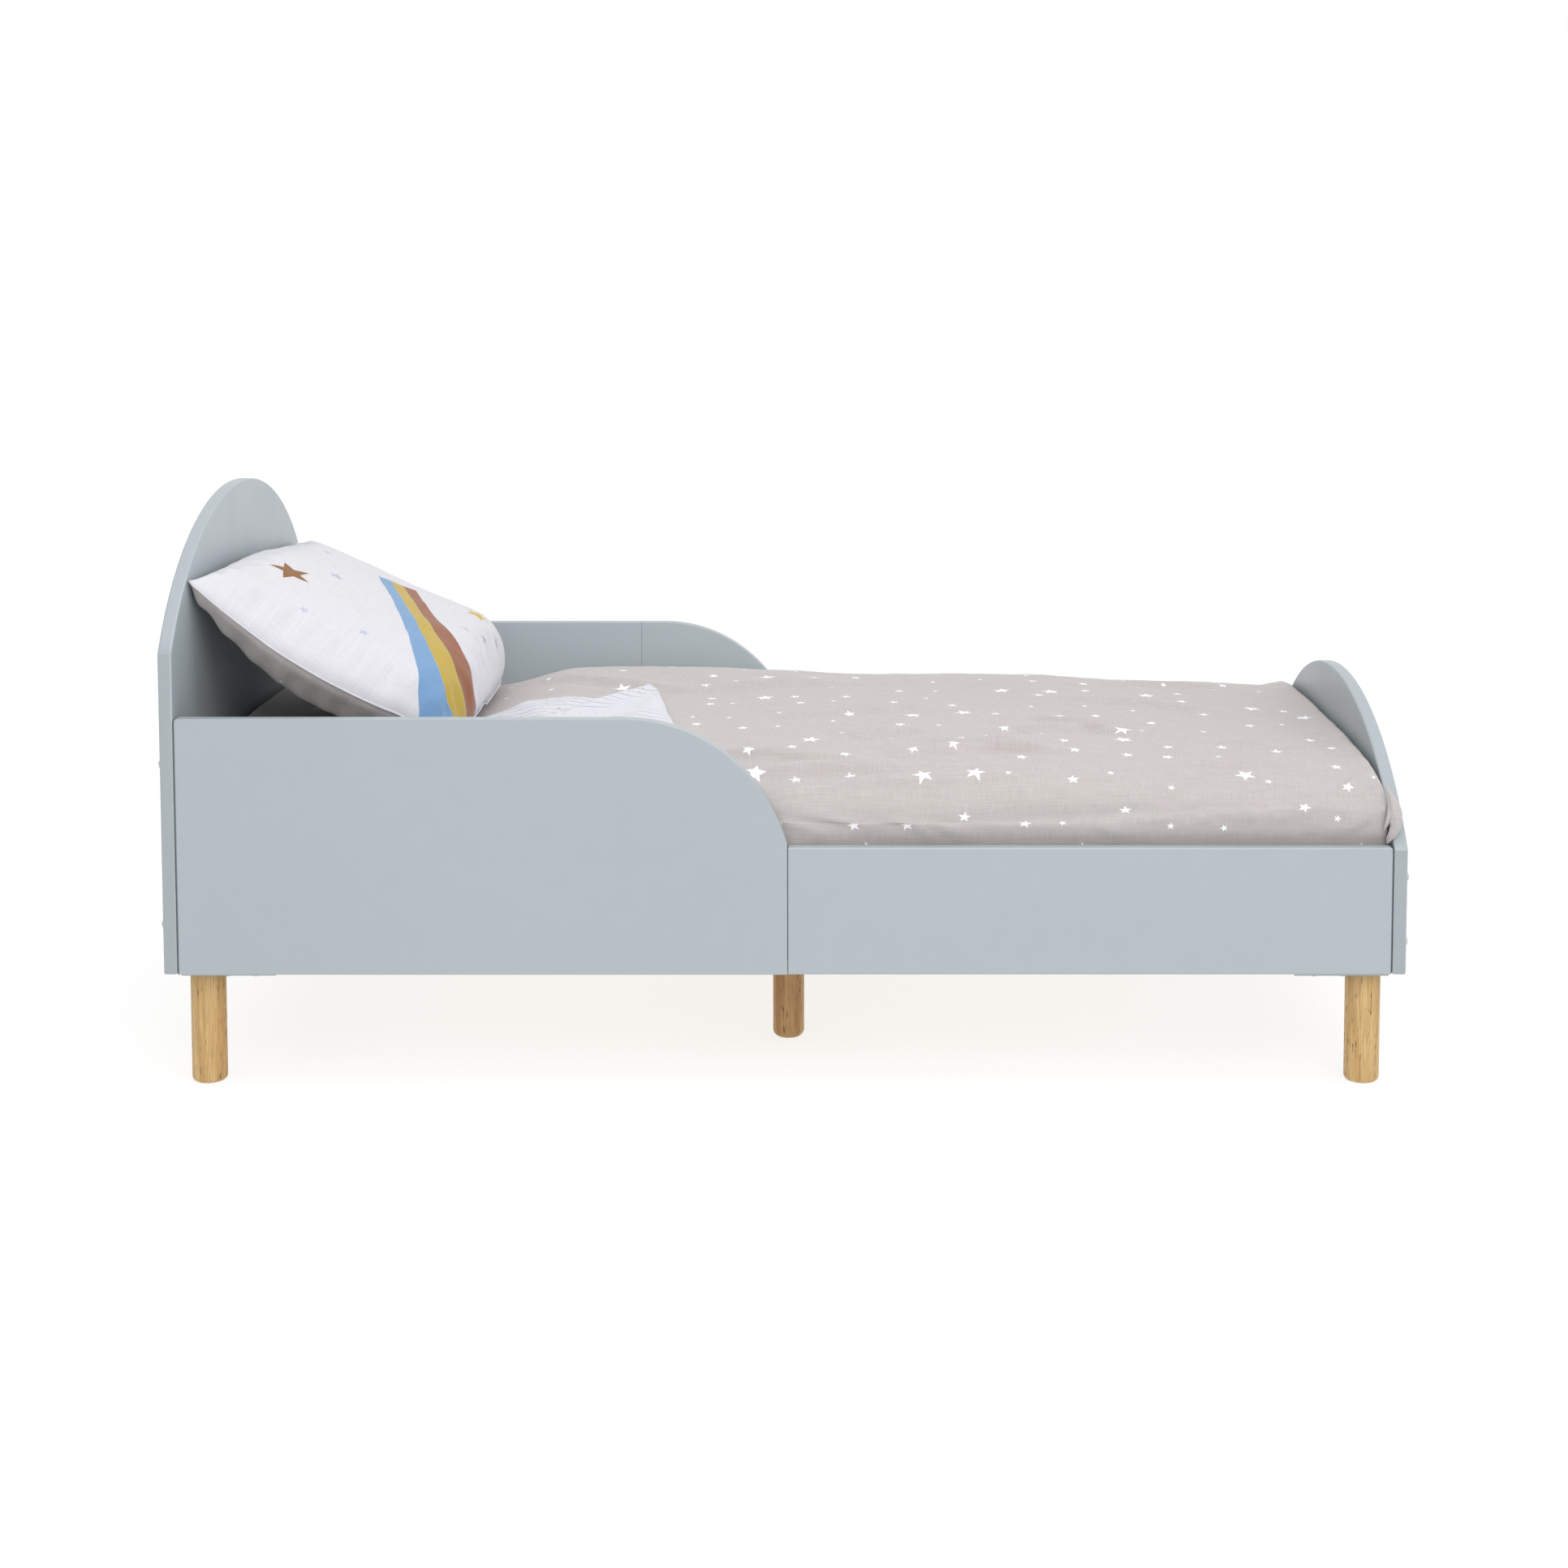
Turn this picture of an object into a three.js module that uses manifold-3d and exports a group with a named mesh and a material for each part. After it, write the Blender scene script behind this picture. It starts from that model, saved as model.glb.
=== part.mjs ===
// Toddler bed with an arched headboard and footboard, two-piece side panels
// (a tall guard at the head half, a low rail at the foot half), turned wooden
// legs, a slatted base, a mattress, a duvet and a pillow.
// Millimetres, +Z up, the head end at -X, the front side at -Y.
// The origin is on the floor under the middle of the bed.

import * as THREE from 'three';
import { mergeVertices } from 'three/addons/utils/BufferGeometryUtils.js';
import Module from 'manifold-3d';

// ---------------------------------------------------------------- dimensions
const BED_L = 1440;          // over the outer faces of the end boards
const BED_W = 742;           // over the outer faces of the side panels
const BOARD_T = 16;          // thickness of every painted board
const JOINT_GAP = 0.4;       // dark joint line left between two boards

const PANEL_Z0 = 138;        // underside of every painted board
const RAIL_TOP = 288;        // low rail, 150 tall
const GUARD_TOP = 438;       // guard, 300 tall
const HEAD_CORNER_Z = 513;   // where the headboard's arch leaves its straight side
const HEAD_APEX_Z = 678;     // 540 tall
const HEAD_ARCH_P = 1.12;    // how far past the board's side the ellipse would run
const FOOT_CORNER_Z = 286;
const FOOT_APEX_Z = 435;     // 297 tall
const FOOT_ARCH_P = 1.20;
const ARCH_STEPS = 40;

const SEAM_X = 3;            // butt joint between guard and low rail
const GUARD_CURVE_X = -184;  // where the guard's top starts to fall
const GUARD_CURVE_A = 196;   // half axes of that quarter ellipse
const GUARD_CURVE_B = 210;
const GUARD_STEPS = 26;
const CORNER_R = 5;          // eased outer top corners of the side panels

const LEG_D = 41;            // corner legs
const LEG_IN_X = 25;         // leg axis behind the end board's inner face
const LEG_IN_Y = 27;         // leg axis behind the side panel's inner face
const LEG_H = 132;
const LEG_FOOT_R = 6;        // rounding of the lower edge
const CENTRE_LEG_D = 38.5;
const CENTRE_LEG_H = 150;
const CENTRE_LEG_Y = 164;
const CENTRE_LEG_X = 1;
const CENTRE_LEG_FOOT_R = 9;

const BLOCK_SIZE = 110;      // triangular corner block along each board
const BLOCK_T = 18;
const BLOCK_NOSE = 14;
const BLOCK_SCREW_X = [53, 86];
const BLOCK_SCREW_Y = 8;

const LEDGE_T = 20;          // batten on the inside of each side, carries the slats
const LEDGE_Z0 = 150;
const LEDGE_Z1 = 215;
const LEDGE_HALF_L = 665;

const SLAT_N = 10;
const SLAT_W = 80;
const SLAT_PITCH = 138;
const SLAT_T = 15;
const SLAT_L = 708;

const BEAM_W = 44;           // crossbeam under the slats at mid-length

const BOLT_AXIS_IN = 8.5;    // bolt axis behind the side panel's outer face
const BOLT_HEAD_R = 5.2;
const BOLT_HEAD_T = 2.2;
const BOLT_SHANK_R = 2.9;
const BOLT_SHANK_L = 50;
const GUARD_BOLT_Z = [196, 384];
const RAIL_BOLT_Z = [176, 252];
const NUT_IN = 28;           // barrel nut axis behind the end board's inner face
const NUT_R = 5;
const NUT_L = 12;

const MATTRESS_L = 1400;
const MATTRESS_W = 692;
const MATTRESS_T = 100;
const MATTRESS_CORNER_R = 40;

const DUVET_HALF_W = 353.4;  // its tucked sides, just inside the side panels
const DUVET_SKIRT_T = 6.4;
const DUVET_Z0 = 262;        // lower edge of the tucked sides
const DUVET_X0 = -701;
const DUVET_X1 = 701.5;

const PILLOW_LEN_Y = 578;    // across the bed
const PILLOW_T = 96;
const PILLOW_LOW = [-390, 405];    // lower and upper edge in the X-Z plane
const PILLOW_HIGH = [-693, 586];

// ------------------------------------------------------------------ materials
const material = (color, roughness, metalness = 0) =>
  new THREE.MeshStandardMaterial({ color, roughness, metalness });
const PAINT = material(0xb6bec6, 0.45);
const LEG_WOOD = material(0xc8a878, 0.55);
const SLAT_WOOD = material(0xd8bf94, 0.65);
const STEEL = material(0xb9bcc0, 0.35, 1.0);
const TICKING = material(0xf1efec, 0.9);
const TAUPE = material(0xcdc5c0, 0.95);
const WHITE_COTTON = material(0xeeeeef, 0.9);

// -------------------------------------------------------------------- helpers
const wasm = await Module();
wasm.setup();

function toSolid(geometry) {
  const g = geometry.clone();
  for (const name of Object.keys(g.attributes)) if (name !== 'position') g.deleteAttribute(name);
  const merged = mergeVertices(g, 1e-4);
  const mesh = new wasm.Mesh({
    numProp: 3,
    vertProperties: new Float32Array(merged.attributes.position.array),
    triVerts: new Uint32Array(merged.index.array),
  });
  return new wasm.Manifold(mesh);
}

function toGeometry(solid) {
  const mesh = solid.getMesh();
  const g = new THREE.BufferGeometry();
  g.setAttribute('position', new THREE.BufferAttribute(new Float32Array(mesh.vertProperties), 3));
  g.setIndex(new THREE.BufferAttribute(new Uint32Array(mesh.triVerts), 1));
  g.computeVertexNormals();
  return g;
}

function cut(geometry, tools) {
  let solid = toSolid(geometry);
  for (const t of tools) solid = solid.subtract(toSolid(t));
  return toGeometry(solid);
}

const bed = new THREE.Group();
function add(name, geometry, mat) {
  const mesh = new THREE.Mesh(geometry, mat);
  mesh.name = name;
  bed.add(mesh);
  return mesh;
}

function boxBetween(x0, x1, y0, y1, z0, z1) {
  const g = new THREE.BoxGeometry(x1 - x0, y1 - y0, z1 - z0);
  g.translate((x0 + x1) / 2, (y0 + y1) / 2, (z0 + z1) / 2);
  return g;
}

// a round bar from one point to another along X, Y or Z
function rod(axis, r, from, to, at, seg = 10) {
  const g = new THREE.CylinderGeometry(r, r, Math.abs(to - from), seg);
  const mid = (from + to) / 2;
  if (axis === 'x') { g.rotateZ(-Math.PI / 2); g.translate(mid, at[0], at[1]); }
  if (axis === 'y') g.translate(at[0], mid, at[1]);
  if (axis === 'z') { g.rotateX(Math.PI / 2); g.translate(at[0], at[1], mid); }
  return g;
}

// an outline in Y-Z pushed along X, from x0 to x0 + t
function extrudeAlongX(points, x0, t) {
  const g = new THREE.ExtrudeGeometry(new THREE.Shape(points), { depth: t, bevelEnabled: false });
  g.applyMatrix4(new THREE.Matrix4().set(0, 0, 1, x0, 1, 0, 0, 0, 0, 1, 0, 0, 0, 0, 0, 1));
  return g;
}

// an outline in X-Z pushed along -Y, from y1 down to y1 - t
function extrudeAlongY(points, y1, t) {
  const g = new THREE.ExtrudeGeometry(new THREE.Shape(points), { depth: t, bevelEnabled: false });
  g.applyMatrix4(new THREE.Matrix4().set(1, 0, 0, 0, 0, 0, -1, y1, 0, 1, 0, 0, 0, 0, 0, 1));
  return g;
}

const V2 = (x, y) => new THREE.Vector2(x, y);
const HALF_L = BED_L / 2;
const HALF_W = BED_W / 2;
const IN_X = HALF_L - BOARD_T;
const IN_Y = HALF_W - BOARD_T;

// ----------------------------------------------------------------- end boards
// Straight sides up to the corner, then an elliptical arch cut off by the sides.
function archOutline(cornerZ, apexZ, p) {
  const drop = 1 - Math.sqrt(1 - 1 / (p * p));
  const h = (apexZ - cornerZ) / drop;
  const pts = [V2(-HALF_W, PANEL_Z0), V2(HALF_W, PANEL_Z0)];
  for (let i = 0; i <= ARCH_STEPS; i++) {
    const y = HALF_W - (2 * HALF_W * i) / ARCH_STEPS;
    const u = y / (HALF_W * p);
    pts.push(V2(y, apexZ - h * (1 - Math.sqrt(1 - u * u))));
  }
  return pts;
}

function boltPlaces(end, zs) {
  const places = [];
  for (const side of [-1, 1]) for (const z of zs) places.push({ end, side, z, y: side * (HALF_W - BOLT_AXIS_IN) });
  return places;
}
const headBolts = boltPlaces(-1, GUARD_BOLT_Z);
const footBolts = boltPlaces(1, RAIL_BOLT_Z);

function endBoardHoles(bolts) {
  return bolts.map((b) => rod('x', BOLT_SHANK_R + 0.4, b.end * (IN_X - 1), b.end * (HALF_L + 1), [b.y, b.z]));
}
add('headboard', cut(extrudeAlongX(archOutline(HEAD_CORNER_Z, HEAD_APEX_Z, HEAD_ARCH_P), -HALF_L, BOARD_T), endBoardHoles(headBolts)), PAINT);
add('footboard', cut(extrudeAlongX(archOutline(FOOT_CORNER_Z, FOOT_APEX_Z, FOOT_ARCH_P), IN_X, BOARD_T), endBoardHoles(footBolts)), PAINT);

// ---------------------------------------------------------------- side panels
function quarter(cx, cz, r, a0, a1, n = 5) {
  const pts = [];
  for (let i = 0; i <= n; i++) {
    const a = a0 + ((a1 - a0) * i) / n;
    pts.push(V2(cx + r * Math.cos(a), cz + r * Math.sin(a)));
  }
  return pts;
}

function guardOutline() {
  const x0 = -IN_X + JOINT_GAP;
  const x1 = SEAM_X - JOINT_GAP / 2;
  const pts = [V2(x0, PANEL_Z0), V2(x1, PANEL_Z0)];
  for (let i = GUARD_STEPS; i >= 0; i--) {
    const t = i / GUARD_STEPS;
    // finer steps where the curve is steep
    const x = GUARD_CURVE_X + (x1 - GUARD_CURVE_X) * (1 - Math.pow(1 - t, 1.6));
    const u = (x - GUARD_CURVE_X) / GUARD_CURVE_A;
    pts.push(V2(x, GUARD_TOP - GUARD_CURVE_B * (1 - Math.sqrt(1 - u * u))));
  }
  pts.push(...quarter(x0 + CORNER_R, GUARD_TOP - CORNER_R, CORNER_R, Math.PI / 2, Math.PI));
  return pts;
}

function railOutline() {
  const x0 = SEAM_X + JOINT_GAP / 2;
  const x1 = IN_X - JOINT_GAP;
  return [V2(x0, PANEL_Z0), V2(x1, PANEL_Z0),
    ...quarter(x1 - CORNER_R, RAIL_TOP - CORNER_R, CORNER_R, 0, Math.PI / 2), V2(x0, RAIL_TOP)];
}

// bolt channel in the panel's end grain and blind bore for its barrel nut
function panelHoles(bolts, side) {
  const tools = [];
  for (const b of bolts.filter((q) => q.side === side)) {
    tools.push(rod('x', BOLT_SHANK_R + 0.4, b.end * (IN_X - 38), b.end * (IN_X + 2), [b.y, b.z]));
    tools.push(rod('y', NUT_R + 0.3, side * (HALF_W - 2), side * (IN_Y - 2), [b.end * (IN_X - NUT_IN), b.z], 14));
  }
  return tools;
}

for (const [label, side] of [['front', -1], ['back', 1]]) {
  const y1 = side < 0 ? -IN_Y : HALF_W;
  add(`side_guard_${label}`, cut(extrudeAlongY(guardOutline(), y1, BOARD_T), panelHoles(headBolts, side)), PAINT);
  add(`side_rail_${label}`, cut(extrudeAlongY(railOutline(), y1, BOARD_T), panelHoles(footBolts, side)), PAINT);
}

// ----------------------------------------------- connecting bolts, barrel nuts
function boltGeometry(b) {
  const profile = [V2(0, -BOLT_HEAD_T), V2(BOLT_HEAD_R - 1.4, -BOLT_HEAD_T), 
    V2(BOLT_HEAD_R, -BOLT_HEAD_T + 1.2), V2(BOLT_HEAD_R, 0), V2(BOLT_SHANK_R, 0), V2(BOLT_SHANK_R, BOLT_SHANK_L), V2(0, BOLT_SHANK_L)];
  const g = new THREE.LatheGeometry(profile, 16);
  const socket = new THREE.CylinderGeometry(2.3, 2.3, 2.8, 6);
  socket.translate(0, -BOLT_HEAD_T, 0);
  const bolt = cut(g, [socket]);
  // the lathe's axis, Y, turns to point into the bed
  bolt.rotateZ(b.end < 0 ? -Math.PI / 2 : Math.PI / 2);
  bolt.translate(b.end * HALF_L, b.y, b.z);
  return bolt;
}

function nutGeometry(b) {
  const x = b.end * (IN_X - NUT_IN);
  const yMid = b.side * (HALF_W - BOLT_AXIS_IN);
  const body = rod('y', NUT_R, yMid - NUT_L / 2, yMid + NUT_L / 2, [x, b.z], 14);
  return cut(body, [rod('x', BOLT_SHANK_R + 0.3, x - 8, x + 8, [b.y, b.z])]);
}

for (const [endLabel, bolts] of [['head', headBolts], ['foot', footBolts]]) {
  for (const b of bolts) {
    const sideLabel = b.side < 0 ? 'front' : 'back';
    const level = b.z === Math.min(...bolts.map((q) => q.z)) ? 'lower' : 'upper';
    add(`bolt_${endLabel}_${sideLabel}_${level}`, boltGeometry(b), STEEL);
    add(`barrel_nut_${endLabel}_${sideLabel}_${level}`, nutGeometry(b), STEEL);
  }
}

// ------------------------------------------- corner blocks, their screws, legs
function blockOutline(sx, sy) {
  const cx = sx * (IN_X - 0.3);
  const cy = sy * (IN_Y - 0.3);
  const at = (a, b) => V2(cx - sx * a, cy - sy * b);
  const pts = [at(0, 0), at(BLOCK_SIZE, 0), at(BLOCK_SIZE, BLOCK_NOSE), at(BLOCK_NOSE, BLOCK_SIZE), at(0, BLOCK_SIZE)];
  return THREE.ShapeUtils.area(pts) < 0 ? pts.reverse() : pts;
}

function screwGeometry(x, y) {
  const zTop = LEG_H;             // underside of the block
  const profile = [V2(0, -2.1), V2(2.6, -2.1), V2(4.1, -1.4), V2(4.5, 0), V2(2, 0), V2(2, 34), V2(0, 39)];
  const slot = new THREE.CylinderGeometry(1.6, 1.6, 1.6, 4);
  slot.translate(0, -2.1, 0);
  const screw = cut(new THREE.LatheGeometry(profile, 10), [slot]);
  screw.rotateX(Math.PI / 2);
  screw.translate(x, y, zTop);
  return screw;
}

function legGeometry(d, h, footR) {
  const r = d / 2;
  const profile = [V2(0, 0), V2(r - footR, 0)];
  for (let i = 1; i <= 4; i++) {
    const a = -Math.PI / 2 + (Math.PI / 2) * (i / 4);
    profile.push(V2(r - footR + footR * Math.cos(a), footR + footR * Math.sin(a)));
  }
  profile.push(V2(r, h - 1), V2(r - 1, h), V2(0, h));
  const g = new THREE.LatheGeometry(profile, 28);
  g.rotateX(Math.PI / 2);
  return g;
}

const screwPlaces = { front: [], back: [] };
for (const [endLabel, sx] of [['head', -1], ['foot', 1]]) {
  for (const [sideLabel, sy] of [['front', -1], ['back', 1]]) {
    const places = BLOCK_SCREW_X.map((a) => [sx * (IN_X - a), sy * (IN_Y - BLOCK_SCREW_Y)]);
    screwPlaces[sideLabel].push(...places);
    const plate = new THREE.ExtrudeGeometry(new THREE.Shape(blockOutline(sx, sy)), { depth: BLOCK_T, bevelEnabled: false });
    plate.translate(0, 0, LEG_H);
    add(`corner_block_${sideLabel}_${endLabel}`,
      cut(plate, places.map(([x, y]) => rod('z', 2.4, LEG_H - 2, LEG_H + BLOCK_T + 2, [x, y], 8))), PAINT);
    places.forEach(([x, y], i) => add(`block_screw_${sideLabel}_${endLabel}_${i + 1}`, screwGeometry(x, y), STEEL));
    const leg = legGeometry(LEG_D, LEG_H, LEG_FOOT_R);
    leg.translate(sx * (IN_X - LEG_IN_X), sy * (IN_Y - LEG_IN_Y), 0);
    add(`leg_${sideLabel}_${endLabel}`, leg, LEG_WOOD);
  }
}
for (const [sideLabel, sy] of [['front', -1], ['back', 1]]) {
  const leg = legGeometry(CENTRE_LEG_D, CENTRE_LEG_H, CENTRE_LEG_FOOT_R);
  leg.translate(CENTRE_LEG_X, sy * CENTRE_LEG_Y, 0);
  add(`leg_centre_${sideLabel}`, leg, LEG_WOOD);
}

// -------------------------------------------------- slat ledges, beam and slats
for (const [label, sy] of [['front', -1], ['back', 1]]) {
  const y0 = sy < 0 ? -IN_Y : IN_Y - LEDGE_T;
  const body = boxBetween(-LEDGE_HALF_L, LEDGE_HALF_L, y0, y0 + LEDGE_T, LEDGE_Z0, LEDGE_Z1);
  add(`slat_ledge_${label}`, cut(body, screwPlaces[label].map(([x, y]) => rod('z', 2.4, LEDGE_Z0 - 2, LEG_H + 41, [x, y], 8))), SLAT_WOOD);
}
add('centre_crossbeam', boxBetween(CENTRE_LEG_X - BEAM_W / 2, CENTRE_LEG_X + BEAM_W / 2,
  -(IN_Y - LEDGE_T), IN_Y - LEDGE_T, LEDGE_Z0, LEDGE_Z1), SLAT_WOOD);
for (let i = 0; i < SLAT_N; i++) {
  const x = (i - (SLAT_N - 1) / 2) * SLAT_PITCH;
  add(`slat_${String(i + 1).padStart(2, '0')}`,
    boxBetween(x - SLAT_W / 2, x + SLAT_W / 2, -SLAT_L / 2, SLAT_L / 2, LEDGE_Z1, LEDGE_Z1 + SLAT_T), SLAT_WOOD);
}

// -------------------------------------------------------------------- bedding
const MATTRESS_Z0 = LEDGE_Z1 + SLAT_T;
const MATTRESS_Z1 = MATTRESS_Z0 + MATTRESS_T;
{
  const hx = MATTRESS_L / 2;
  const hy = MATTRESS_W / 2;
  const r = MATTRESS_CORNER_R;
  const pts = [
    ...quarter(hx - r, hy - r, r, 0, Math.PI / 2, 6), ...quarter(-hx + r, hy - r, r, Math.PI / 2, Math.PI, 6),
    ...quarter(-hx + r, -hy + r, r, Math.PI, 1.5 * Math.PI, 6), ...quarter(hx - r, -hy + r, r, 1.5 * Math.PI, 2 * Math.PI, 6)];
  const g = new THREE.ExtrudeGeometry(new THREE.Shape(pts), { depth: MATTRESS_T, bevelEnabled: false });
  g.translate(0, 0, MATTRESS_Z0);
  add('mattress', g, TICKING);
}

// Height of the duvet's top at (x, y): a low crown that drops to the footboard
// and rolls over at the sides.
function duvetTop(x, y) {
  const side = Math.abs(y) / DUVET_HALF_W;
  const crown = 396 - 14 * side * side;
  const foot = Math.max(0, (x - 430) / (DUVET_X1 - 430));
  const head = Math.min(1, Math.max(0, (-280 - x) / 120));   // pressed down under the pillow
  const roll = Math.max(0, (Math.abs(y) - 285) / (DUVET_HALF_W - 285));
  return crown - 27 * foot * foot - 16 * head * head - 22 * (1 - Math.sqrt(Math.max(0, 1 - roll * roll)));
}

// A closed cap over the mattress: the same section stations along X, joined by
// quads, with a flat end at the head and at the foot.
{
  const ys = [-DUVET_HALF_W, -345, -330, -310, -285, -220, -130, 0, 130, 220, 285, 310, 330, 345, DUVET_HALF_W];
  const xs = [DUVET_X0, -550, -400, -370, -340, -310, -280, 0, 250, 430, 530, 610, 665, DUVET_X1];
  const inner = DUVET_HALF_W - DUVET_SKIRT_T;
  const under = MATTRESS_Z1 + 0.4;
  const section = (x) => {
    const s = [[-DUVET_HALF_W, DUVET_Z0]];
    for (const y of ys) s.push([y, duvetTop(x, y)]);
    s.push([DUVET_HALF_W, DUVET_Z0], [inner, DUVET_Z0], [inner, under], [-inner, under], [-inner, DUVET_Z0]);
    return s;
  };
  const n = ys.length + 6;
  const pos = [];
  for (const x of xs) for (const [y, z] of section(x)) pos.push(x, y, z);
  const index = [];
  for (let i = 0; i + 1 < xs.length; i++) {
    for (let j = 0; j < n; j++) {
      const a = i * n + j;
      const b = i * n + ((j + 1) % n);
      index.push(a, b, b + n, a, b + n, a + n);
    }
  }
  // end faces: the crown is fanned from the two inner corners, each tucked side is two triangles
  const m = ys.length;
  const mid = (m + 1) / 2;
  const cap = [[m + 1, m + 2, m], [m + 2, m + 3, m], [0, 1, m + 5], [1, m + 4, m + 5], [m + 3, m + 4, mid]];
  for (let j = mid; j < m; j++) cap.push([m + 3, j, j + 1]);
  for (let j = 1; j < mid; j++) cap.push([m + 4, j, j + 1]);
  for (const [i, sense] of [[0, -1], [xs.length - 1, 1]]) {
    const outline = section(xs[i]).map(([y, z]) => V2(y, z));
    const turn = sense * Math.sign(THREE.ShapeUtils.area(outline));
    for (const [a, b, c] of cap) {
      const same = Math.sign(THREE.ShapeUtils.area([outline[a], outline[b], outline[c]])) === turn;
      index.push(i * n + a, i * n + (same ? b : c), i * n + (same ? c : b));
    }
  }
  const g = new THREE.BufferGeometry();
  g.setAttribute('position', new THREE.BufferAttribute(new Float32Array(pos), 3));
  g.setIndex(index);
  // faces point out whichever way the outline was walked
  const p = g.attributes.position;
  const v = [0, 1, 2].map(() => new THREE.Vector3());
  let volume = 0;
  for (let i = 0; i < index.length; i += 3) {
    for (let k = 0; k < 3; k++) v[k].fromBufferAttribute(p, index[i + k]);
    volume += v[0].dot(v[1].cross(v[2])) / 6;
  }
  if (volume < 0) {
    for (let i = 0; i < index.length; i += 3) [index[i + 1], index[i + 2]] = [index[i + 2], index[i + 1]];
    g.setIndex(index);
  }
  g.computeVertexNormals();
  add('duvet', g, TAUPE);
}

// The pillow leans on the headboard: two crowned faces that meet at the seam.
{
  const [xl, zl] = PILLOW_LOW;
  const [xh, zh] = PILLOW_HIGH;
  const len = Math.hypot(xh - xl, zh - zl);
  const along = [(xh - xl) / len, (zh - zl) / len];
  const normal = [-along[1] * -1, -along[0] * 1];          // up and towards the foot
  const NU = 10;
  const NV = 10;
  const pos = [];
  const id = {};
  const point = (i, j, side) => {
    const edge = i === 0 || i === NU || j === 0 || j === NV;
    const key = edge ? `${i},${j}` : `${i},${j},${side}`;
    if (key in id) return id[key];
    const u = -Math.cos((Math.PI * i) / NU);
    const v = -Math.cos((Math.PI * j) / NV);
    const pull = 1 - 0.05 * (1 - u * u) - 0.05 * (1 - v * v);
    const t = (PILLOW_T / 2) * Math.pow(Math.max(0, (1 - u * u) * (1 - v * v)), 0.5) * (edge ? 0 : 1) * side;
    const s = len / 2 + (len / 2) * u * (1 - 0.04 * (1 - v * v));
    id[key] = pos.length / 3;
    pos.push(xl + along[0] * s + normal[0] * t, (PILLOW_LEN_Y / 2) * v * (1 - 0.03 * (1 - u * u)), zl + along[1] * s + normal[1] * t);
    return id[key];
  };
  const index = [];
  for (let i = 0; i < NU; i++) {
    for (let j = 0; j < NV; j++) {
      for (const side of [1, -1]) {
        const q = [point(i, j, side), point(i + 1, j, side), point(i + 1, j + 1, side), point(i, j + 1, side)];
        // the diagonal starts at the pillow's corner, so the two faces share only the seam
        const k = (i === 0 && j === NV - 1) || (i === NU - 1 && j === 0) ? 1 : 0;
        const [a, b, c, d] = [q[k], q[k + 1], q[k + 2], q[(k + 3) % 4]];
        if (side > 0) index.push(a, c, b, a, d, c);
        else index.push(a, b, c, a, c, d);
      }
    }
  }
  const clean = [];
  for (let i = 0; i < index.length; i += 3) {
    const [a, b, c] = index.slice(i, i + 3);
    if (a !== b && b !== c && a !== c) clean.push(a, b, c);
  }
  const g = new THREE.BufferGeometry();
  g.setAttribute('position', new THREE.BufferAttribute(new Float32Array(pos), 3));
  g.setIndex(clean);
  const p = g.attributes.position;
  const v = [0, 1, 2].map(() => new THREE.Vector3());
  let volume = 0;
  for (let i = 0; i < clean.length; i += 3) {
    for (let k = 0; k < 3; k++) v[k].fromBufferAttribute(p, clean[i + k]);
    volume += v[0].dot(v[1].cross(v[2])) / 6;
  }
  if (volume < 0) {
    for (let i = 0; i < clean.length; i += 3) [clean[i + 1], clean[i + 2]] = [clean[i + 2], clean[i + 1]];
    g.setIndex(clean);
  }
  g.computeVertexNormals();
  add('pillow', g, WHITE_COTTON);
}

export default bed;
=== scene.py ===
# The looks of the toddler bed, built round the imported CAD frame. Blender 4.5, metres.
import math

import bpy
import bmesh
import numpy as np
from mathutils import Matrix, Vector, noise


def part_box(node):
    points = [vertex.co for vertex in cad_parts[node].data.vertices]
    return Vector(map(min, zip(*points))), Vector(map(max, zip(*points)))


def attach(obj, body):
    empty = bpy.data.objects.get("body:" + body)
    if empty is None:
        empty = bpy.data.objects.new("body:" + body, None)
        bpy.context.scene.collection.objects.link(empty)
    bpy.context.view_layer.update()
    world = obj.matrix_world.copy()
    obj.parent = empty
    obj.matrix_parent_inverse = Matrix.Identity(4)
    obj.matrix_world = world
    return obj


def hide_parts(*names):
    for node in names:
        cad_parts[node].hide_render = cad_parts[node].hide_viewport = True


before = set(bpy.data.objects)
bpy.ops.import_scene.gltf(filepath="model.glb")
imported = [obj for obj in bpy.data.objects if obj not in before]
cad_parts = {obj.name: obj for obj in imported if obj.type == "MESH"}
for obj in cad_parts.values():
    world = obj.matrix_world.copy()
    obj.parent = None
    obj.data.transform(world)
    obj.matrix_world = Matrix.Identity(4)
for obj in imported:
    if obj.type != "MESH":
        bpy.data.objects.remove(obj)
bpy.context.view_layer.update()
scene = bpy.context.scene
scene.view_settings.view_transform = "Standard"
scene.view_settings.look = "None"

# ------------------------------------------------------------------ camera
cam_data = bpy.data.cameras.new("camera")
cam = bpy.data.objects.new("camera", cam_data)
scene.collection.objects.link(cam)
scene.camera = cam
cam_data.sensor_width = 36.0
cam_data.lens = 57.817
cam_data.shift_x = -0.0276
cam_data.shift_y = -0.22
cam_data.clip_end = 50
cam.location = (0.0491, -3.230, 0.9938)
cam.rotation_euler = (math.radians(90 - 4.65), 0, 0)

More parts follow.
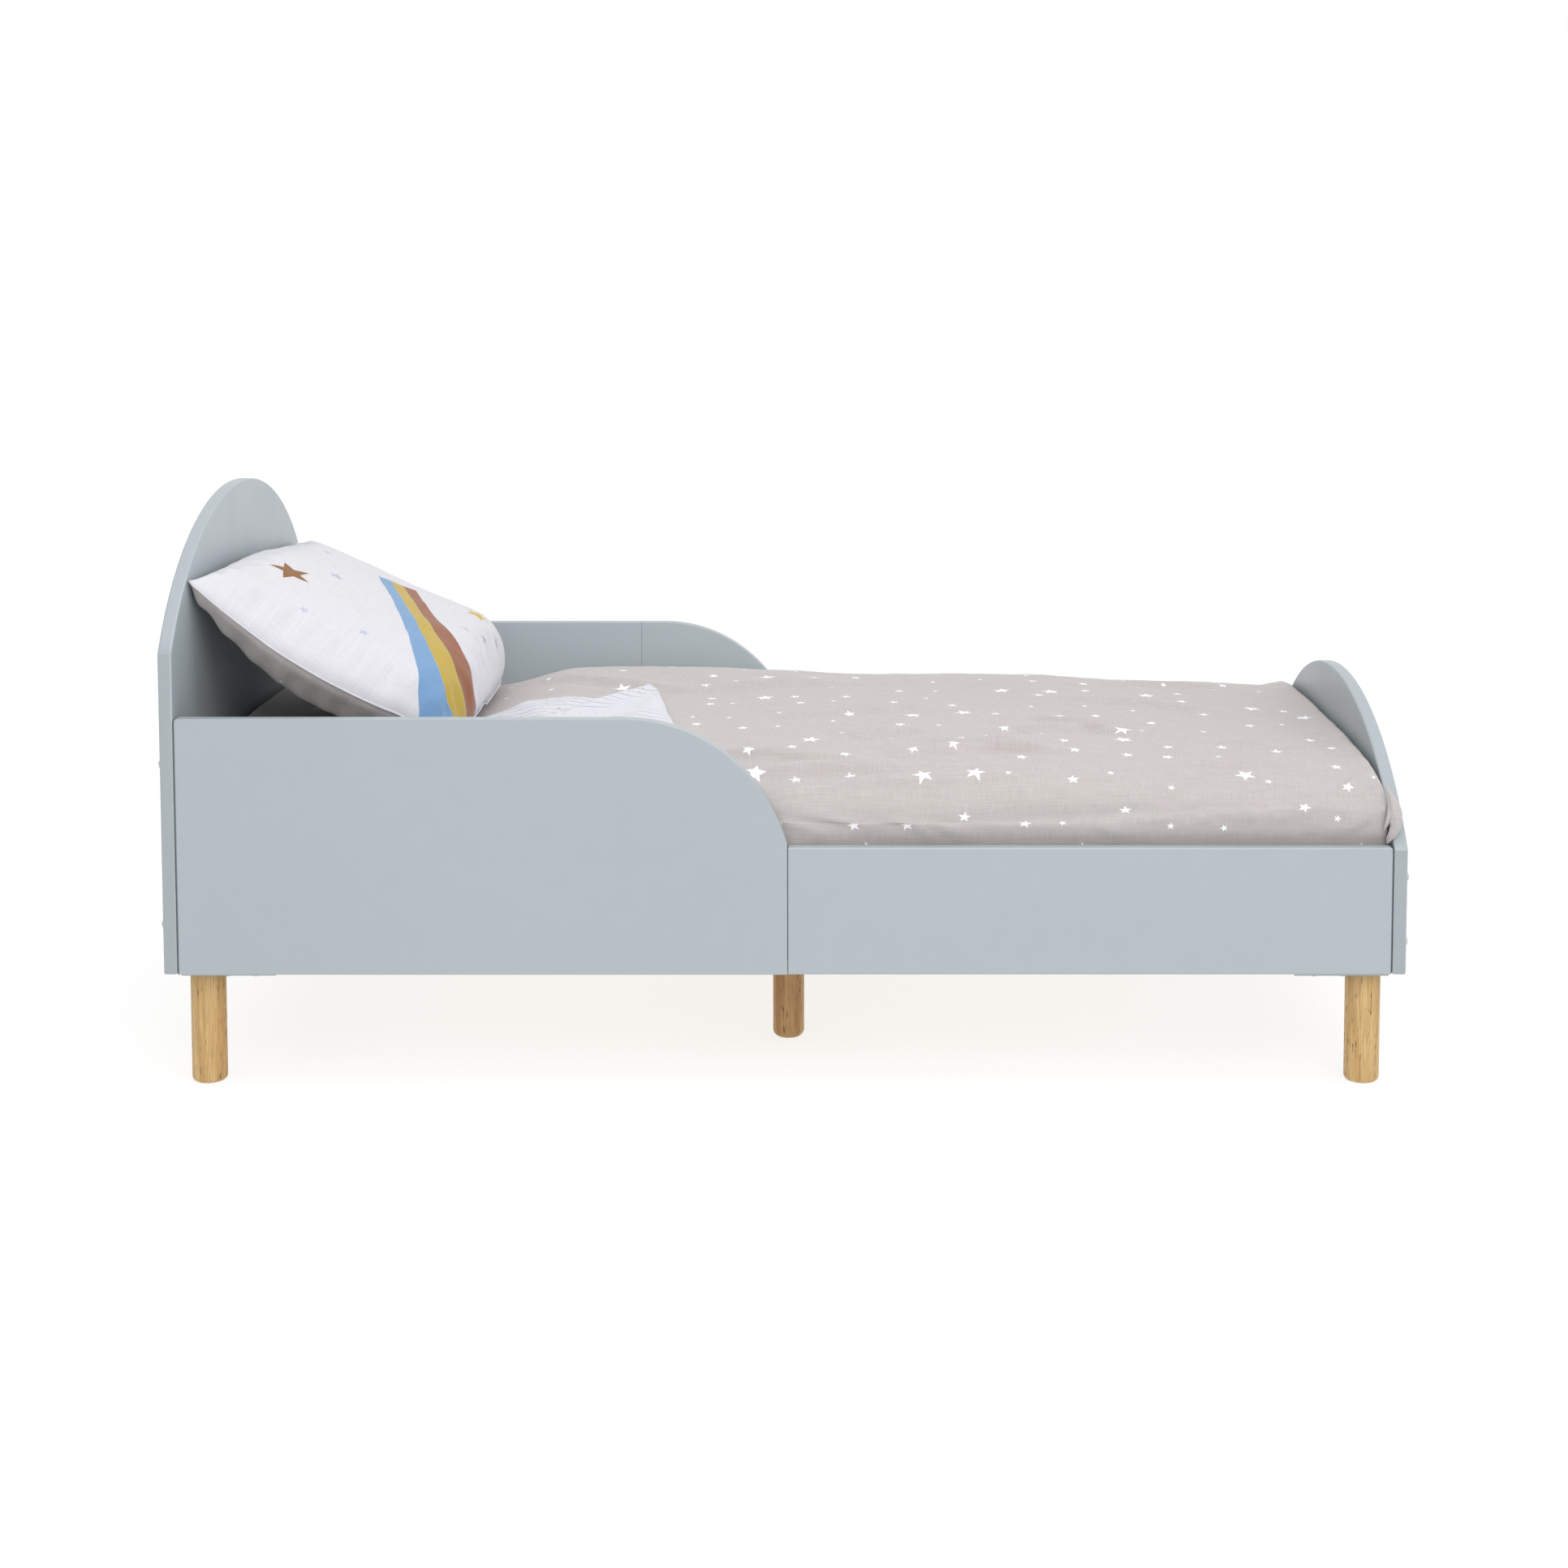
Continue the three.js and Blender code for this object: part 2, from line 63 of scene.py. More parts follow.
# ------------------------------------------------------------------ sizes read from the frame
HEAD_LO, HEAD_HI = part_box("headboard")
FOOT_LO, FOOT_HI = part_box("footboard")
RAIL_LO, RAIL_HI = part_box("side_rail_front")
GUARD_LO, GUARD_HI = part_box("side_guard_front")
MAT_LO, MAT_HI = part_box("mattress")
DUV_LO, DUV_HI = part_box("duvet")
PIL_LO, PIL_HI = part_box("pillow")
IN_HEAD = HEAD_HI.x          # inner faces of the boards
IN_FOOT = FOOT_LO.x
IN_FRONT = RAIL_HI.y
RAIL_TOP = RAIL_HI.z
GUARD_TOP = GUARD_HI.z


# ------------------------------------------------------------------ small helpers
def rng(seed):
    return np.random.default_rng(seed)


def link(mesh, name):
    o = bpy.data.objects.new(name, mesh)
    scene.collection.objects.link(o)
    return o


def mesh_from(name, verts, faces, uvs=None, smooth=True):
    me = bpy.data.meshes.new(name)
    me.from_pydata([tuple(map(float, v)) for v in verts], [], [tuple(map(int, f)) for f in faces])
    me.update()
    if uvs is not None:
        layer = me.uv_layers.new(name="flat")
        loops = np.zeros(len(me.loops), np.int32)
        me.loops.foreach_get("vertex_index", loops)
        layer.data.foreach_set("uv", np.asarray(uvs, np.float32)[loops].ravel())
    if smooth:
        me.polygons.foreach_set("use_smooth", np.ones(len(me.polygons), bool))
    return me


def smoothstep(a, b, x):
    t = np.clip((np.asarray(x, float) - a) / (b - a), 0, 1)
    return t * t * (3 - 2 * t)


def fbm(x, y, scale, seed, octaves=4):
    """Smooth noise on arrays, about -1 to 1."""
    out = np.zeros(np.broadcast(x, y).shape)
    xs, ys = np.broadcast_arrays(x, y)
    it = np.nditer([xs, ys, out], op_flags=[["readonly"], ["readonly"], ["writeonly"]])
    for a, b, c in it:
        c[...] = noise.fractal(Vector((float(a) * scale, float(b) * scale, seed * 7.31)), 1.0, 2.0, octaves)
    return out


def coords(o):
    co = np.zeros(len(o.data.vertices) * 3)
    o.data.vertices.foreach_get("co", co)
    return co.reshape(-1, 3)


# ------------------------------------------------------------------ node helpers
class Tree:
    """A material's node tree, with short calls for the nodes used here."""

    def __init__(self, name):
        self.mat = bpy.data.materials.new(name)
        self.mat.use_nodes = True
        self.nt = self.mat.node_tree
        self.nt.nodes.clear()
        self.out = self.nt.nodes.new("ShaderNodeOutputMaterial")
        self.bsdf = self.nt.nodes.new("ShaderNodeBsdfPrincipled")
        self.nt.links.new(self.bsdf.outputs[0], self.out.inputs[0])

    def put(self, socket, value):
        if isinstance(value, bpy.types.NodeSocket):
            self.nt.links.new(value, socket)
        elif value is not None:
            if hasattr(socket.default_value, "__len__") and not hasattr(value, "__len__"):
                value = [value] * len(socket.default_value)
            if hasattr(socket.default_value, "__len__") and len(socket.default_value) == 4 and len(value) == 3:
                value = (*value, 1)
            socket.default_value = value

    def math(self, op, a, b=None, c=None, clamp=False):
        n = self.nt.nodes.new("ShaderNodeMath")
        n.operation = op
        n.use_clamp = clamp
        for s, v in zip(n.inputs, (a, b, c)):
            self.put(s, v)
        return n.outputs[0]

    def vec(self, op, a, b=None):
        n = self.nt.nodes.new("ShaderNodeVectorMath")
        n.operation = op
        self.put(n.inputs[0], a)
        if b is not None:
            self.put(n.inputs[3] if op == "SCALE" else n.inputs[1], b)
        return n.outputs["Value"] if op in ("LENGTH", "DOT_PRODUCT", "DISTANCE") else n.outputs[0]

    def object(self):
        return self.nt.nodes.new("ShaderNodeTexCoord").outputs["Object"]

    def uv(self, name="flat"):
        n = self.nt.nodes.new("ShaderNodeUVMap")
        n.uv_map = name
        return n.outputs[0]

    def split(self, v):
        n = self.nt.nodes.new("ShaderNodeSeparateXYZ")
        self.put(n.inputs[0], v)
        return n.outputs

    def join(self, x, y, z=0.0):
        n = self.nt.nodes.new("ShaderNodeCombineXYZ")
        for s, v in zip(n.inputs, (x, y, z)):
            self.put(s, v)
        return n.outputs[0]

    def noise(self, vector, scale=1.0, detail=3.0, rough=0.5, distortion=0.0, dims="3D"):
        n = self.nt.nodes.new("ShaderNodeTexNoise")
        n.noise_dimensions = dims
        self.put(n.inputs["Vector"], vector)
        n.inputs["Scale"].default_value = scale
        n.inputs["Detail"].default_value = detail
        n.inputs["Roughness"].default_value = rough
        n.inputs["Distortion"].default_value = distortion
        return n.outputs[0]

    def range(self, v, a, b, c=0.0, d=1.0, smooth=False):
        n = self.nt.nodes.new("ShaderNodeMapRange")
        n.interpolation_type = "SMOOTHSTEP" if smooth else "LINEAR"
        self.put(n.inputs["Value"], v)
        n.inputs["From Min"].default_value = a
        n.inputs["From Max"].default_value = b
        n.inputs["To Min"].default_value = c
        n.inputs["To Max"].default_value = d
        return n.outputs[0]

    def mix(self, f, a, b, blend="MIX"):
        n = self.nt.nodes.new("ShaderNodeMix")
        n.data_type = "RGBA"
        n.blend_type = blend
        n.clamp_result = False
        self.put(n.inputs[0], f)
        self.put(n.inputs[6], a)
        self.put(n.inputs[7], b)
        return n.outputs[2]

    def bump(self, height, strength, distance, normal=None):
        n = self.nt.nodes.new("ShaderNodeBump")
        n.inputs["Strength"].default_value = strength
        n.inputs["Distance"].default_value = distance
        self.put(n.inputs["Height"], height)
        if normal is not None:
            self.put(n.inputs["Normal"], normal)
        return n.outputs[0]

    def set(self, **values):
        for k, v in values.items():
            self.put(self.bsdf.inputs[k.replace("_", " ")], v)
        return self.mat


def to_linear(r, g, b):
    def lin(c):
        c /= 255
        return c / 12.92 if c <= 0.04045 else ((c + 0.055) / 1.055) ** 2.4
    return (lin(r), lin(g), lin(b))


srgb = to_linear


def star_mask(t, uv, cell, sizes, tilt=0.9, keep=0.9, seedshift=(0.0, 0.0)):
    """1 inside plain five-pointed stars scattered over uv, which is in metres."""
    v = t.nt.nodes.new("ShaderNodeTexVoronoi")
    v.voronoi_dimensions = "2D"
    v.feature = "F1"
    v.inputs["Scale"].default_value = 1 / cell
    v.inputs["Randomness"].default_value = 0.72
    moved = t.vec("ADD", uv, (*seedshift, 0.0))
    t.put(v.inputs["Vector"], moved)
    local = t.split(t.vec("SUBTRACT", moved, v.outputs["Position"]))
    rand = t.nt.nodes.new("ShaderNodeSeparateColor")
    t.put(rand.inputs[0], v.outputs["Color"])
    r1, r2, r3 = rand.outputs[:3]
    small, medium, large = sizes
    radius = t.math("ADD", small, t.math("MULTIPLY", t.math("GREATER_THAN", r1, 0.42), medium - small))
    radius = t.math("ADD", radius, t.math("MULTIPLY", t.math("GREATER_THAN", r1, 0.86), large - medium))
    ang = t.math("ARCTAN2", local[0], local[1])
    ang = t.math("ADD", ang, t.math("MULTIPLY", t.math("SUBTRACT", r3, 0.5), tilt))
    folded = t.math("ADD", t.math("MULTIPLY", ang, 5 / (2 * math.pi)), 0.5)
    folded = t.math("SUBTRACT", t.math("FLOORED_MODULO", folded, 1.0), 0.5)
    folded = t.math("MULTIPLY", t.math("ABSOLUTE", folded), 2 * math.pi / 5)
    r = t.math("SQRT", t.math("ADD", t.math("MULTIPLY", local[0], local[0]), t.math("MULTIPLY", local[1], local[1])))
    px = t.math("SUBTRACT", t.math("MULTIPLY", r, t.math("COSINE", folded)), radius)
    py = t.math("MULTIPLY", r, t.math("SINE", folded))
    # signed distance to the edge from a point of the star to its next notch
    d = t.math("SUBTRACT", t.math("MULTIPLY", py, -0.9358), t.math("MULTIPLY", px, 0.3505))
    mask = t.range(d, -0.0003, 0.0003)
    return t.math("MULTIPLY", mask, t.math("LESS_THAN", r2, keep))


# ------------------------------------------------------------------ materials
def paint_material(name="painted_board_satin", line_x=None, tone=0.862, ends=False):
    t = Tree(name)
    co = t.object()

    def srgb(r, g, b):
        return tuple(c * tone for c in to_linear(r, g, b))

    cloud = t.noise(co, 2.2, 3, 0.5)
    grain = t.noise(t.vec("MULTIPLY", co, (30, 30, 30)), 1.0, 4, 0.55)
    base = t.mix(t.range(cloud, 0.3, 0.7), srgb(170, 179, 184), srgb(173, 182, 187))
    base = t.mix(t.range(grain, 0.35, 0.65, 0.0, 0.35), base, srgb(168, 177, 183))
    # painted highlight: the paint is made paler along the arrises, where light catches them
    geo = t.nt.nodes.new("ShaderNodeNewGeometry")
    edge = t.range(geo.outputs["Pointiness"], 0.52, 0.62, 0.0, 0.45)
    base = t.mix(edge, base, srgb(196, 204, 208))
    if line_x is not None:
        x, y, z = t.split(co)
        near = t.range(t.math("ABSOLUTE", t.math("SUBTRACT", x, line_x)), 0.0003, 0.0009, 0.55, 0.0)
        inner = t.math("GREATER_THAN", t.math("MULTIPLY", y, -1.0), -(abs(IN_FRONT) + 0.0006))
        base = t.mix(t.math("MULTIPLY", near, inner), base, srgb(112, 121, 128))
    if ends:
        # the rounded arris where a side panel meets an end board stays in shadow
        x, y, z = t.split(co)
        tip = t.range(t.math("ABSOLUTE", x), min(abs(IN_HEAD), abs(IN_FOOT)) - 0.0026, min(abs(IN_HEAD), abs(IN_FOOT)) - 0.0013, 0.0, 0.9)
        base = t.mix(tip, base, srgb(78, 86, 92))
    peel = t.noise(co, 420, 2, 0.5)
    brush = t.noise(t.vec("MULTIPLY", co, (14, 14, 160)), 1.0, 3, 0.6)
    normal = t.bump(peel, 0.10, 0.0006)
    normal = t.bump(brush, 0.05, 0.0012, normal)
    rough = t.range(t.noise(co, 9, 3, 0.5), 0.3, 0.7, 0.36, 0.47)
    return t.set(Base_Color=base, Roughness=rough, Normal=normal, Coat_Weight=0.12, Coat_Roughness=0.3)


def wood_material(name, axis, light, dark, pore, offset=0.0, rough=0.5, pores=0.55):
    """Straight-grained wood, its grain along one axis of the row frame."""
    t = Tree(name)
    co = t.vec("ADD", t.object(), (offset, offset * 1.7, offset * 0.6))
    x, y, z = t.split(co)
    a, b, g = {"z": (x, y, z), "y": (x, z, y), "x": (y, z, x)}[axis]
    wob = t.noise(t.join(t.math("MULTIPLY", a, 8.0), t.math("MULTIPLY", b, 8.0), t.math("MULTIPLY", g, 3.0)), 1.0, 3, 0.5)
    rings = t.join(
        t.math("ADD", t.math("MULTIPLY", a, 95.0), t.math("MULTIPLY", wob, 3.2)),
        t.math("MULTIPLY", b, 60.0),
        t.math("MULTIPLY", g, 2.6))
    band = t.noise(rings, 1.0, 5, 0.6, 0.3)
    fine = t.noise(t.join(t.math("MULTIPLY", a, 900.0), t.math("MULTIPLY", b, 900.0), t.math("MULTIPLY", g, 22.0)), 1.0, 3, 0.55)
    speck = t.noise(t.join(t.math("MULTIPLY", a, 520.0), t.math("MULTIPLY", b, 520.0), t.math("MULTIPLY", g, 75.0)), 1.0, 2, 0.5)
    base = t.mix(t.range(band, 0.33, 0.68, smooth=True), dark, light)
    base = t.mix(t.range(fine, 0.40, 0.62, 0.45, 0.0), base, pore)
    line = t.noise(t.join(t.math("MULTIPLY", a, 150.0), t.math("MULTIPLY", b, 150.0), t.math("MULTIPLY", g, 5.0)), 1.0, 2, 0.5)
    holes = t.math("MULTIPLY", t.range(speck, 0.31, 0.42, 1.0, 0.0), t.range(line, 0.46, 0.56, 0.25, 1.0))
    holes = t.math("MULTIPLY", holes, pores)
    base = t.mix(holes, base, tuple(c * 0.34 for c in pore))
    normal = t.bump(fine, 0.16, 0.0004)
    normal = t.bump(t.math("SUBTRACT", 1.0, holes), 0.25, 0.0003, normal)
    return t.set(Base_Color=base, Roughness=t.range(band, 0.3, 0.7, rough + 0.08, rough - 0.05), Normal=normal)


def steel_material():
    t = Tree("zinc_steel")
    co = t.object()
    spangle = t.noise(co, 380, 3, 0.6)
    base = t.mix(t.range(spangle, 0.35, 0.65), srgb(176, 178, 180), srgb(206, 207, 206))
    return t.set(Base_Color=base, Metallic=1.0, Roughness=t.range(t.noise(co, 900, 2), 0.3, 0.7, 0.24, 0.42),
                 Normal=t.bump(spangle, 0.08, 0.0002))


def weave(t, uv, pitch, slub, amount=1.0):
    """Warp and weft as two stretched noises; returns (shade 0..1, height 0..1)."""
    u, v, _ = t.split(uv)
    warp = t.noise(t.join(t.math("MULTIPLY", u, 1 / pitch), t.math("MULTIPLY", v, 1 / slub)), 1.0, 2, 0.55)
    weft = t.noise(t.join(t.math("MULTIPLY", u, 1 / (slub * 1.4)), t.math("MULTIPLY", v, 1 / pitch), 3.7), 1.0, 2, 0.55)
    shade = t.math("MULTIPLY", t.math("ADD", warp, weft), 0.5)
    fu = t.math("SINE", t.math("MULTIPLY", u, 2 * math.pi / 0.0011))
    fv = t.math("SINE", t.math("MULTIPLY", v, 2 * math.pi / 0.0011))
    cloth = t.math("ADD", t.math("MULTIPLY", t.math("MULTIPLY", fu, fv), 0.25), 0.5)
    height = t.math("ADD", t.math("MULTIPLY", shade, 0.65), t.math("MULTIPLY", cloth, 0.35))
    return shade, height


def linen_material(name="duvet_linen_stars", seed=(0.013, 0.021), stars=True):
    t = Tree(name)
    uv = t.uv()
    shade, height = weave(t, uv, 0.0011, 0.022)
    broad = t.noise(uv, 3.0, 3, 0.5)
    base = t.mix(t.range(shade, 0.36, 0.64), srgb(170, 164, 162), srgb(186, 180, 178))
    base = t.mix(t.range(broad, 0.3, 0.7, 0.0, 0.18), base, srgb(179, 171, 172))
    if stars:
        mask = star_mask(t, uv, 0.064, (0.0046, 0.0078, 0.0128), keep=0.90, seedshift=seed)
        printed = t.mix(t.range(shade, 0.36, 0.64), srgb(232, 233, 240), srgb(246, 247, 252))
        base = t.mix(mask, base, printed)
    normal = t.bump(height, 0.32, 0.0007)
    crumple = t.noise(t.vec("MULTIPLY", uv, (26, 26, 26)), 1.0, 4, 0.6)
    normal = t.bump(crumple, 0.10, 0.004, normal)
    return t.set(Base_Color=base, Roughness=0.93, Normal=normal, Sheen_Weight=0.22, Sheen_Roughness=0.6,
                 Specular_IOR_Level=0.25)


def cotton_material(name, prints, low, high):
    """Fine white cotton; prints(t, uv, base) lays the printed shapes over it."""
    t = Tree(name)
    uv = t.uv()
    shade, height = weave(t, uv, 0.0010, 0.030)
    base = t.mix(t.range(shade, 0.36, 0.64), low, high)
    base = prints(t, uv, base, shade)
    normal = t.bump(height, 0.22, 0.0005)
    crumple = t.noise(t.vec("MULTIPLY", uv, (30, 30, 30)), 1.0, 4, 0.6)
    normal = t.bump(crumple, 0.12, 0.0035, normal)
    return t.set(Base_Color=base, Roughness=0.9, Normal=normal, Sheen_Weight=0.2, Sheen_Roughness=0.55,
                 Specular_IOR_Level=0.25)


def one_star(t, uv, cx, cy, radius, turn):
    """A single plain star on a print."""
    x, y, _ = t.split(t.vec("SUBTRACT", uv, (cx, cy, 0.0)))
    ang = t.math("ADD", t.math("ARCTAN2", x, y), turn)
    f = t.math("SUBTRACT", t.math("FLOORED_MODULO", t.math("ADD", t.math("MULTIPLY", ang, 5 / (2 * math.pi)), 0.5), 1.0), 0.5)
    f = t.math("MULTIPLY", t.math("ABSOLUTE", f), 2 * math.pi / 5)
    r = t.math("SQRT", t.math("ADD", t.math("MULTIPLY", x, x), t.math("MULTIPLY", y, y)))
    px = t.math("SUBTRACT", t.math("MULTIPLY", r, t.math("COSINE", f)), radius)
    py = t.math("MULTIPLY", r, t.math("SINE", f))
    d = t.math("SUBTRACT", t.math("MULTIPLY", py, -0.9358), t.math("MULTIPLY", px, 0.3505))
    return t.range(d, -0.0003, 0.0003)


def pillow_prints(t, uv, base, shade):
    """Plain curved bands and plain stars. u runs across the bed, v up the pillow."""
    u, v, _ = t.split(uv)
    past = t.math("MAXIMUM", t.math("SUBTRACT", -0.07, v), 0.0)
    q = t.math("SUBTRACT", u, t.math("MULTIPLY", v, 2.5))
    q = t.math("SUBTRACT", q, t.math("MULTIPLY", t.math("MULTIPLY", past, past), 12.0))
    reach = t.math("ADD", t.math("MULTIPLY", u, 0.916), t.math("MULTIPLY", v, 0.402))
    inside = t.range(reach, 0.0860, 0.0865, 1.0, 0.0)
    # three plain bands of one width, side by side
    for lo, hi, colour in ((0.000, 0.056, srgb(112, 150, 190)), (0.056, 0.112, srgb(182, 156, 58)),
                           (0.112, 0.168, srgb(140, 84, 52))):
        band = t.math("MULTIPLY", t.range(q, lo - 0.0008, lo + 0.0008), t.range(q, hi - 0.0008, hi + 0.0008, 1.0, 0.0))
        tone = t.mix(t.range(shade, 0.36, 0.64), tuple(c * 0.88 for c in colour), colour)
        base = t.mix(t.math("MULTIPLY", band, inside), base, tone)
    for cx, cy, r, turn, colour in (
            (-0.150, 0.112, 0.032, 0.3, srgb(128, 80, 18)),
            (-0.076, 0.064, 0.013, -0.2, srgb(166, 168, 192)),
            (0.090, 0.120, 0.010, 0.5, srgb(168, 170, 194)),
            (0.205, 0.045, 0.012, 0.1, srgb(166, 168, 190)),
            (0.112, -0.118, 0.022, -0.4, srgb(190, 158, 50)),
            (0.030, -0.150, 0.010, 0.6, srgb(162, 164, 188)),
            (0.105, -0.165, 0.010, 0.2, srgb(162, 164, 188)),
            (-0.010, -0.120, 0.009, 0.9, srgb(164, 166, 190)),
            (-0.216, -0.020, 0.009, 0.9, srgb(176, 178, 200)),
            (-0.240, 0.060, 0.008, 0.4, srgb(178, 180, 202))):
        base = t.mix(one_star(t, uv, cx, cy, r, turn), base, colour)
    return base


def reverse_prints(t, uv, base, shade):
    """The duvet's white reverse: thin grey stripes and small dots."""
    u, v, _ = t.split(uv)
    wob = t.noise(t.vec("MULTIPLY", uv, (7, 7, 7)), 1.0, 2, 0.5)
    line = t.math("ADD", t.math("MULTIPLY", v, 52.0), t.math("MULTIPLY", wob, 2.2))
    line = t.math("ABSOLUTE", t.math("SUBTRACT", t.math("FLOORED_MODULO", line, 1.0), 0.5))
    stripe = t.range(line, 0.035, 0.06, 1.0, 0.0)
    patch = t.range(t.noise(t.vec("ADD", uv, (4.0, 2.0, 0.0)), 9.0, 2, 0.5), 0.47, 0.52)
    base = t.mix(t.math("MULTIPLY", t.math("MULTIPLY", stripe, patch), 0.75), base, srgb(120, 122, 134))
    dots = t.nt.nodes.new("ShaderNodeTexVoronoi")
    dots.voronoi_dimensions = "2D"
    dots.inputs["Scale"].default_value = 60.0
    dots.inputs["Randomness"].default_value = 0.4
    t.put(dots.inputs["Vector"], uv)
    spot = t.range(dots.outputs["Distance"], 0.09, 0.12, 1.0, 0.0)
    far = t.range(t.noise(uv, 8.0, 2, 0.5), 0.52, 0.57)
    return t.mix(t.math("MULTIPLY", t.math("MULTIPLY", spot, far), 0.8), base, srgb(170, 150, 90))


def ticking_material():
    t = Tree("mattress_ticking")
    co = t.object()
    x, y, z = t.split(co)
    rib = t.math("SINE", t.math("MULTIPLY", t.math("ADD", x, y), 2 * math.pi / 0.0022))
    fuzz = t.noise(co, 300, 3, 0.6)
    base = t.mix(t.range(fuzz, 0.3, 0.7), srgb(232, 230, 225), srgb(247, 246, 242))
    base = t.mix(t.range(rib, 0.2, 0.9, 0.0, 0.25), base, srgb(214, 212, 206))
    h = t.math("ADD", t.math("MULTIPLY", rib, 0.3), fuzz)
    return t.set(Base_Color=base, Roughness=0.92, Normal=t.bump(h, 0.3, 0.0006), Sheen_Weight=0.15, Specular_IOR_Level=0.25)


PAINT = paint_material()
PAINT_LINE = paint_material("painted_board_satin_lined", line_x=-0.2177)
PAINT_EDGE = paint_material("painted_board_edge", tone=0.74)
PAINT_SIDE = paint_material("painted_side_panel", ends=True)
# painted light: a paler copy of the paint that lifts the far guard's inner face out of the shade it sits in behind the
# duvet
PAINT_FAR_PAINTED_LIGHT = paint_material("painted_board_inner_painted_light", line_x=-0.2177, tone=0.99)
OAK = wood_material("leg_oak_light", "z", srgb(218, 187, 132), srgb(190, 152, 96), srgb(146, 108, 62), 0.31, 0.5, 0.85)
# the centre leg's oak: a browner tone of its own, and darker as painted shade for its place under the bed
OAK_BROWNER_AND_SHADED = wood_material("leg_oak_browner_with_painted_shade", "z", srgb(194, 157, 106), srgb(160, 122, 74), srgb(122, 88, 50), 0.77, 0.5, 0.85)
PINE = wood_material("slat_pine", "y", srgb(226, 203, 160), srgb(206, 176, 128), srgb(186, 150, 104), 0.12, 0.62, 0.2)
PINE_X = wood_material("ledge_pine", "x", srgb(224, 200, 156), srgb(204, 173, 124), srgb(184, 148, 100), 0.52, 0.62, 0.2)
STEEL = steel_material()
LINEN = linen_material()
LINEN_B = linen_material("pillow_back_linen", seed=(0.401, 0.233))
LINEN_PLAIN = linen_material("duvet_linen_plain", stars=False)
PRINTED = cotton_material("pillow_cotton_print", pillow_prints, srgb(196, 196, 201), srgb(207, 207, 212))
REVERSE = cotton_material("duvet_reverse_print", reverse_prints, srgb(198, 198, 206), srgb(211, 211, 219))
TICKING = ticking_material()


# ------------------------------------------------------------------ boards, slats, legs
def remake(node, bevel, material, body="frame", segs=4, sharp=40):
    """The CAD solid again, welded, its flats made whole and its arrises rounded."""
    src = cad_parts[node]
    bm = bmesh.new()
    bm.from_mesh(src.data)
    bmesh.ops.remove_doubles(bm, verts=bm.verts, dist=2e-6)
    bmesh.ops.dissolve_limit(bm, angle_limit=math.radians(0.6), verts=bm.verts, edges=bm.edges)
    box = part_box(node)
    size = box[1] - box[0]

    def outer(e):
        # arrises of the outline, not the rims of the bolt holes
        if not e.is_manifold or e.calc_face_angle(0) < math.radians(sharp):
            return False
        return e.calc_length() > 0.004 or min(size) < 0.03 and e.calc_length() > 0.0012 and not hole(e)

    def hole(e):
        m = (e.verts[0].co + e.verts[1].co) / 2
        return any((Vector((0, m.y, m.z)) - Vector((0, by, bz))).length < 0.0045 or
                   (Vector((m.x, 0, m.z)) - Vector((nx, 0, bz))).length < 0.0064
                   for by, bz, nx in HOLES)

    edges = [e for e in bm.edges if outer(e) and not hole(e)]
    if bevel and edges:
        bmesh.ops.bevel(bm, geom=edges, offset=bevel, offset_type="OFFSET", segments=segs, profile=0.5,
                        affect="EDGES", clamp_overlap=True)
    bmesh.ops.recalc_face_normals(bm, faces=bm.faces)
    me = bpy.data.meshes.new(node + "_piece")
    bm.to_mesh(me)
    bm.free()
    me.polygons.foreach_set("use_smooth", np.ones(len(me.polygons), bool))
    me.set_sharp_from_angle(angle=math.radians(34))
    me.materials.append(material)
    o = link(me, node + "_piece")
    w = o.modifiers.new("normals", "WEIGHTED_NORMAL")
    w.keep_sharp = True
    w.weight = 60
    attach(o, body)
    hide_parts(node)
    return o


HOLES = []
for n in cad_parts:
    if n.startswith("bolt_"):
        a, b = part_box(n)
        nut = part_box("barrel_nut" + n[4:])
        HOLES.append(((a.y + b.y) / 2, (a.z + b.z) / 2, (nut[0].x + nut[1].x) / 2))

for n in ("headboard", "footboard", "side_guard_front", "side_rail_front", "side_rail_back"):
    board = remake(n, 0.0024, PAINT_SIDE if n.startswith("side_") else PAINT)
    if n in ("headboard", "footboard"):
        # the end boards' upright edges take the paint darker than their faces
        board.data.materials.append(PAINT_EDGE)
        for f in board.data.polygons:
            if abs(f.normal.y) > 0.98:
                f.material_index = 1
board = remake("side_guard_back", 0.0024, PAINT_LINE)
# the far guard's inner faces take the paler copy, painted light against the shade there
board.data.materials.append(PAINT_FAR_PAINTED_LIGHT)
for f in board.data.polygons:
    if f.normal.y < -0.98:
        f.material_index = 1
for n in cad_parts:
    if n.startswith("corner_block"):
        remake(n, 0.0012, PAINT, segs=2)
    if n.startswith("slat_0") or n.startswith("slat_1"):
        remake(n, 0.0022, PINE, segs=3)
    if n.startswith("slat_ledge"):
        remake(n, 0.0015, PINE_X, segs=2)
    if n == "centre_crossbeam":
        remake(n, 0.0022, PINE, segs=3)


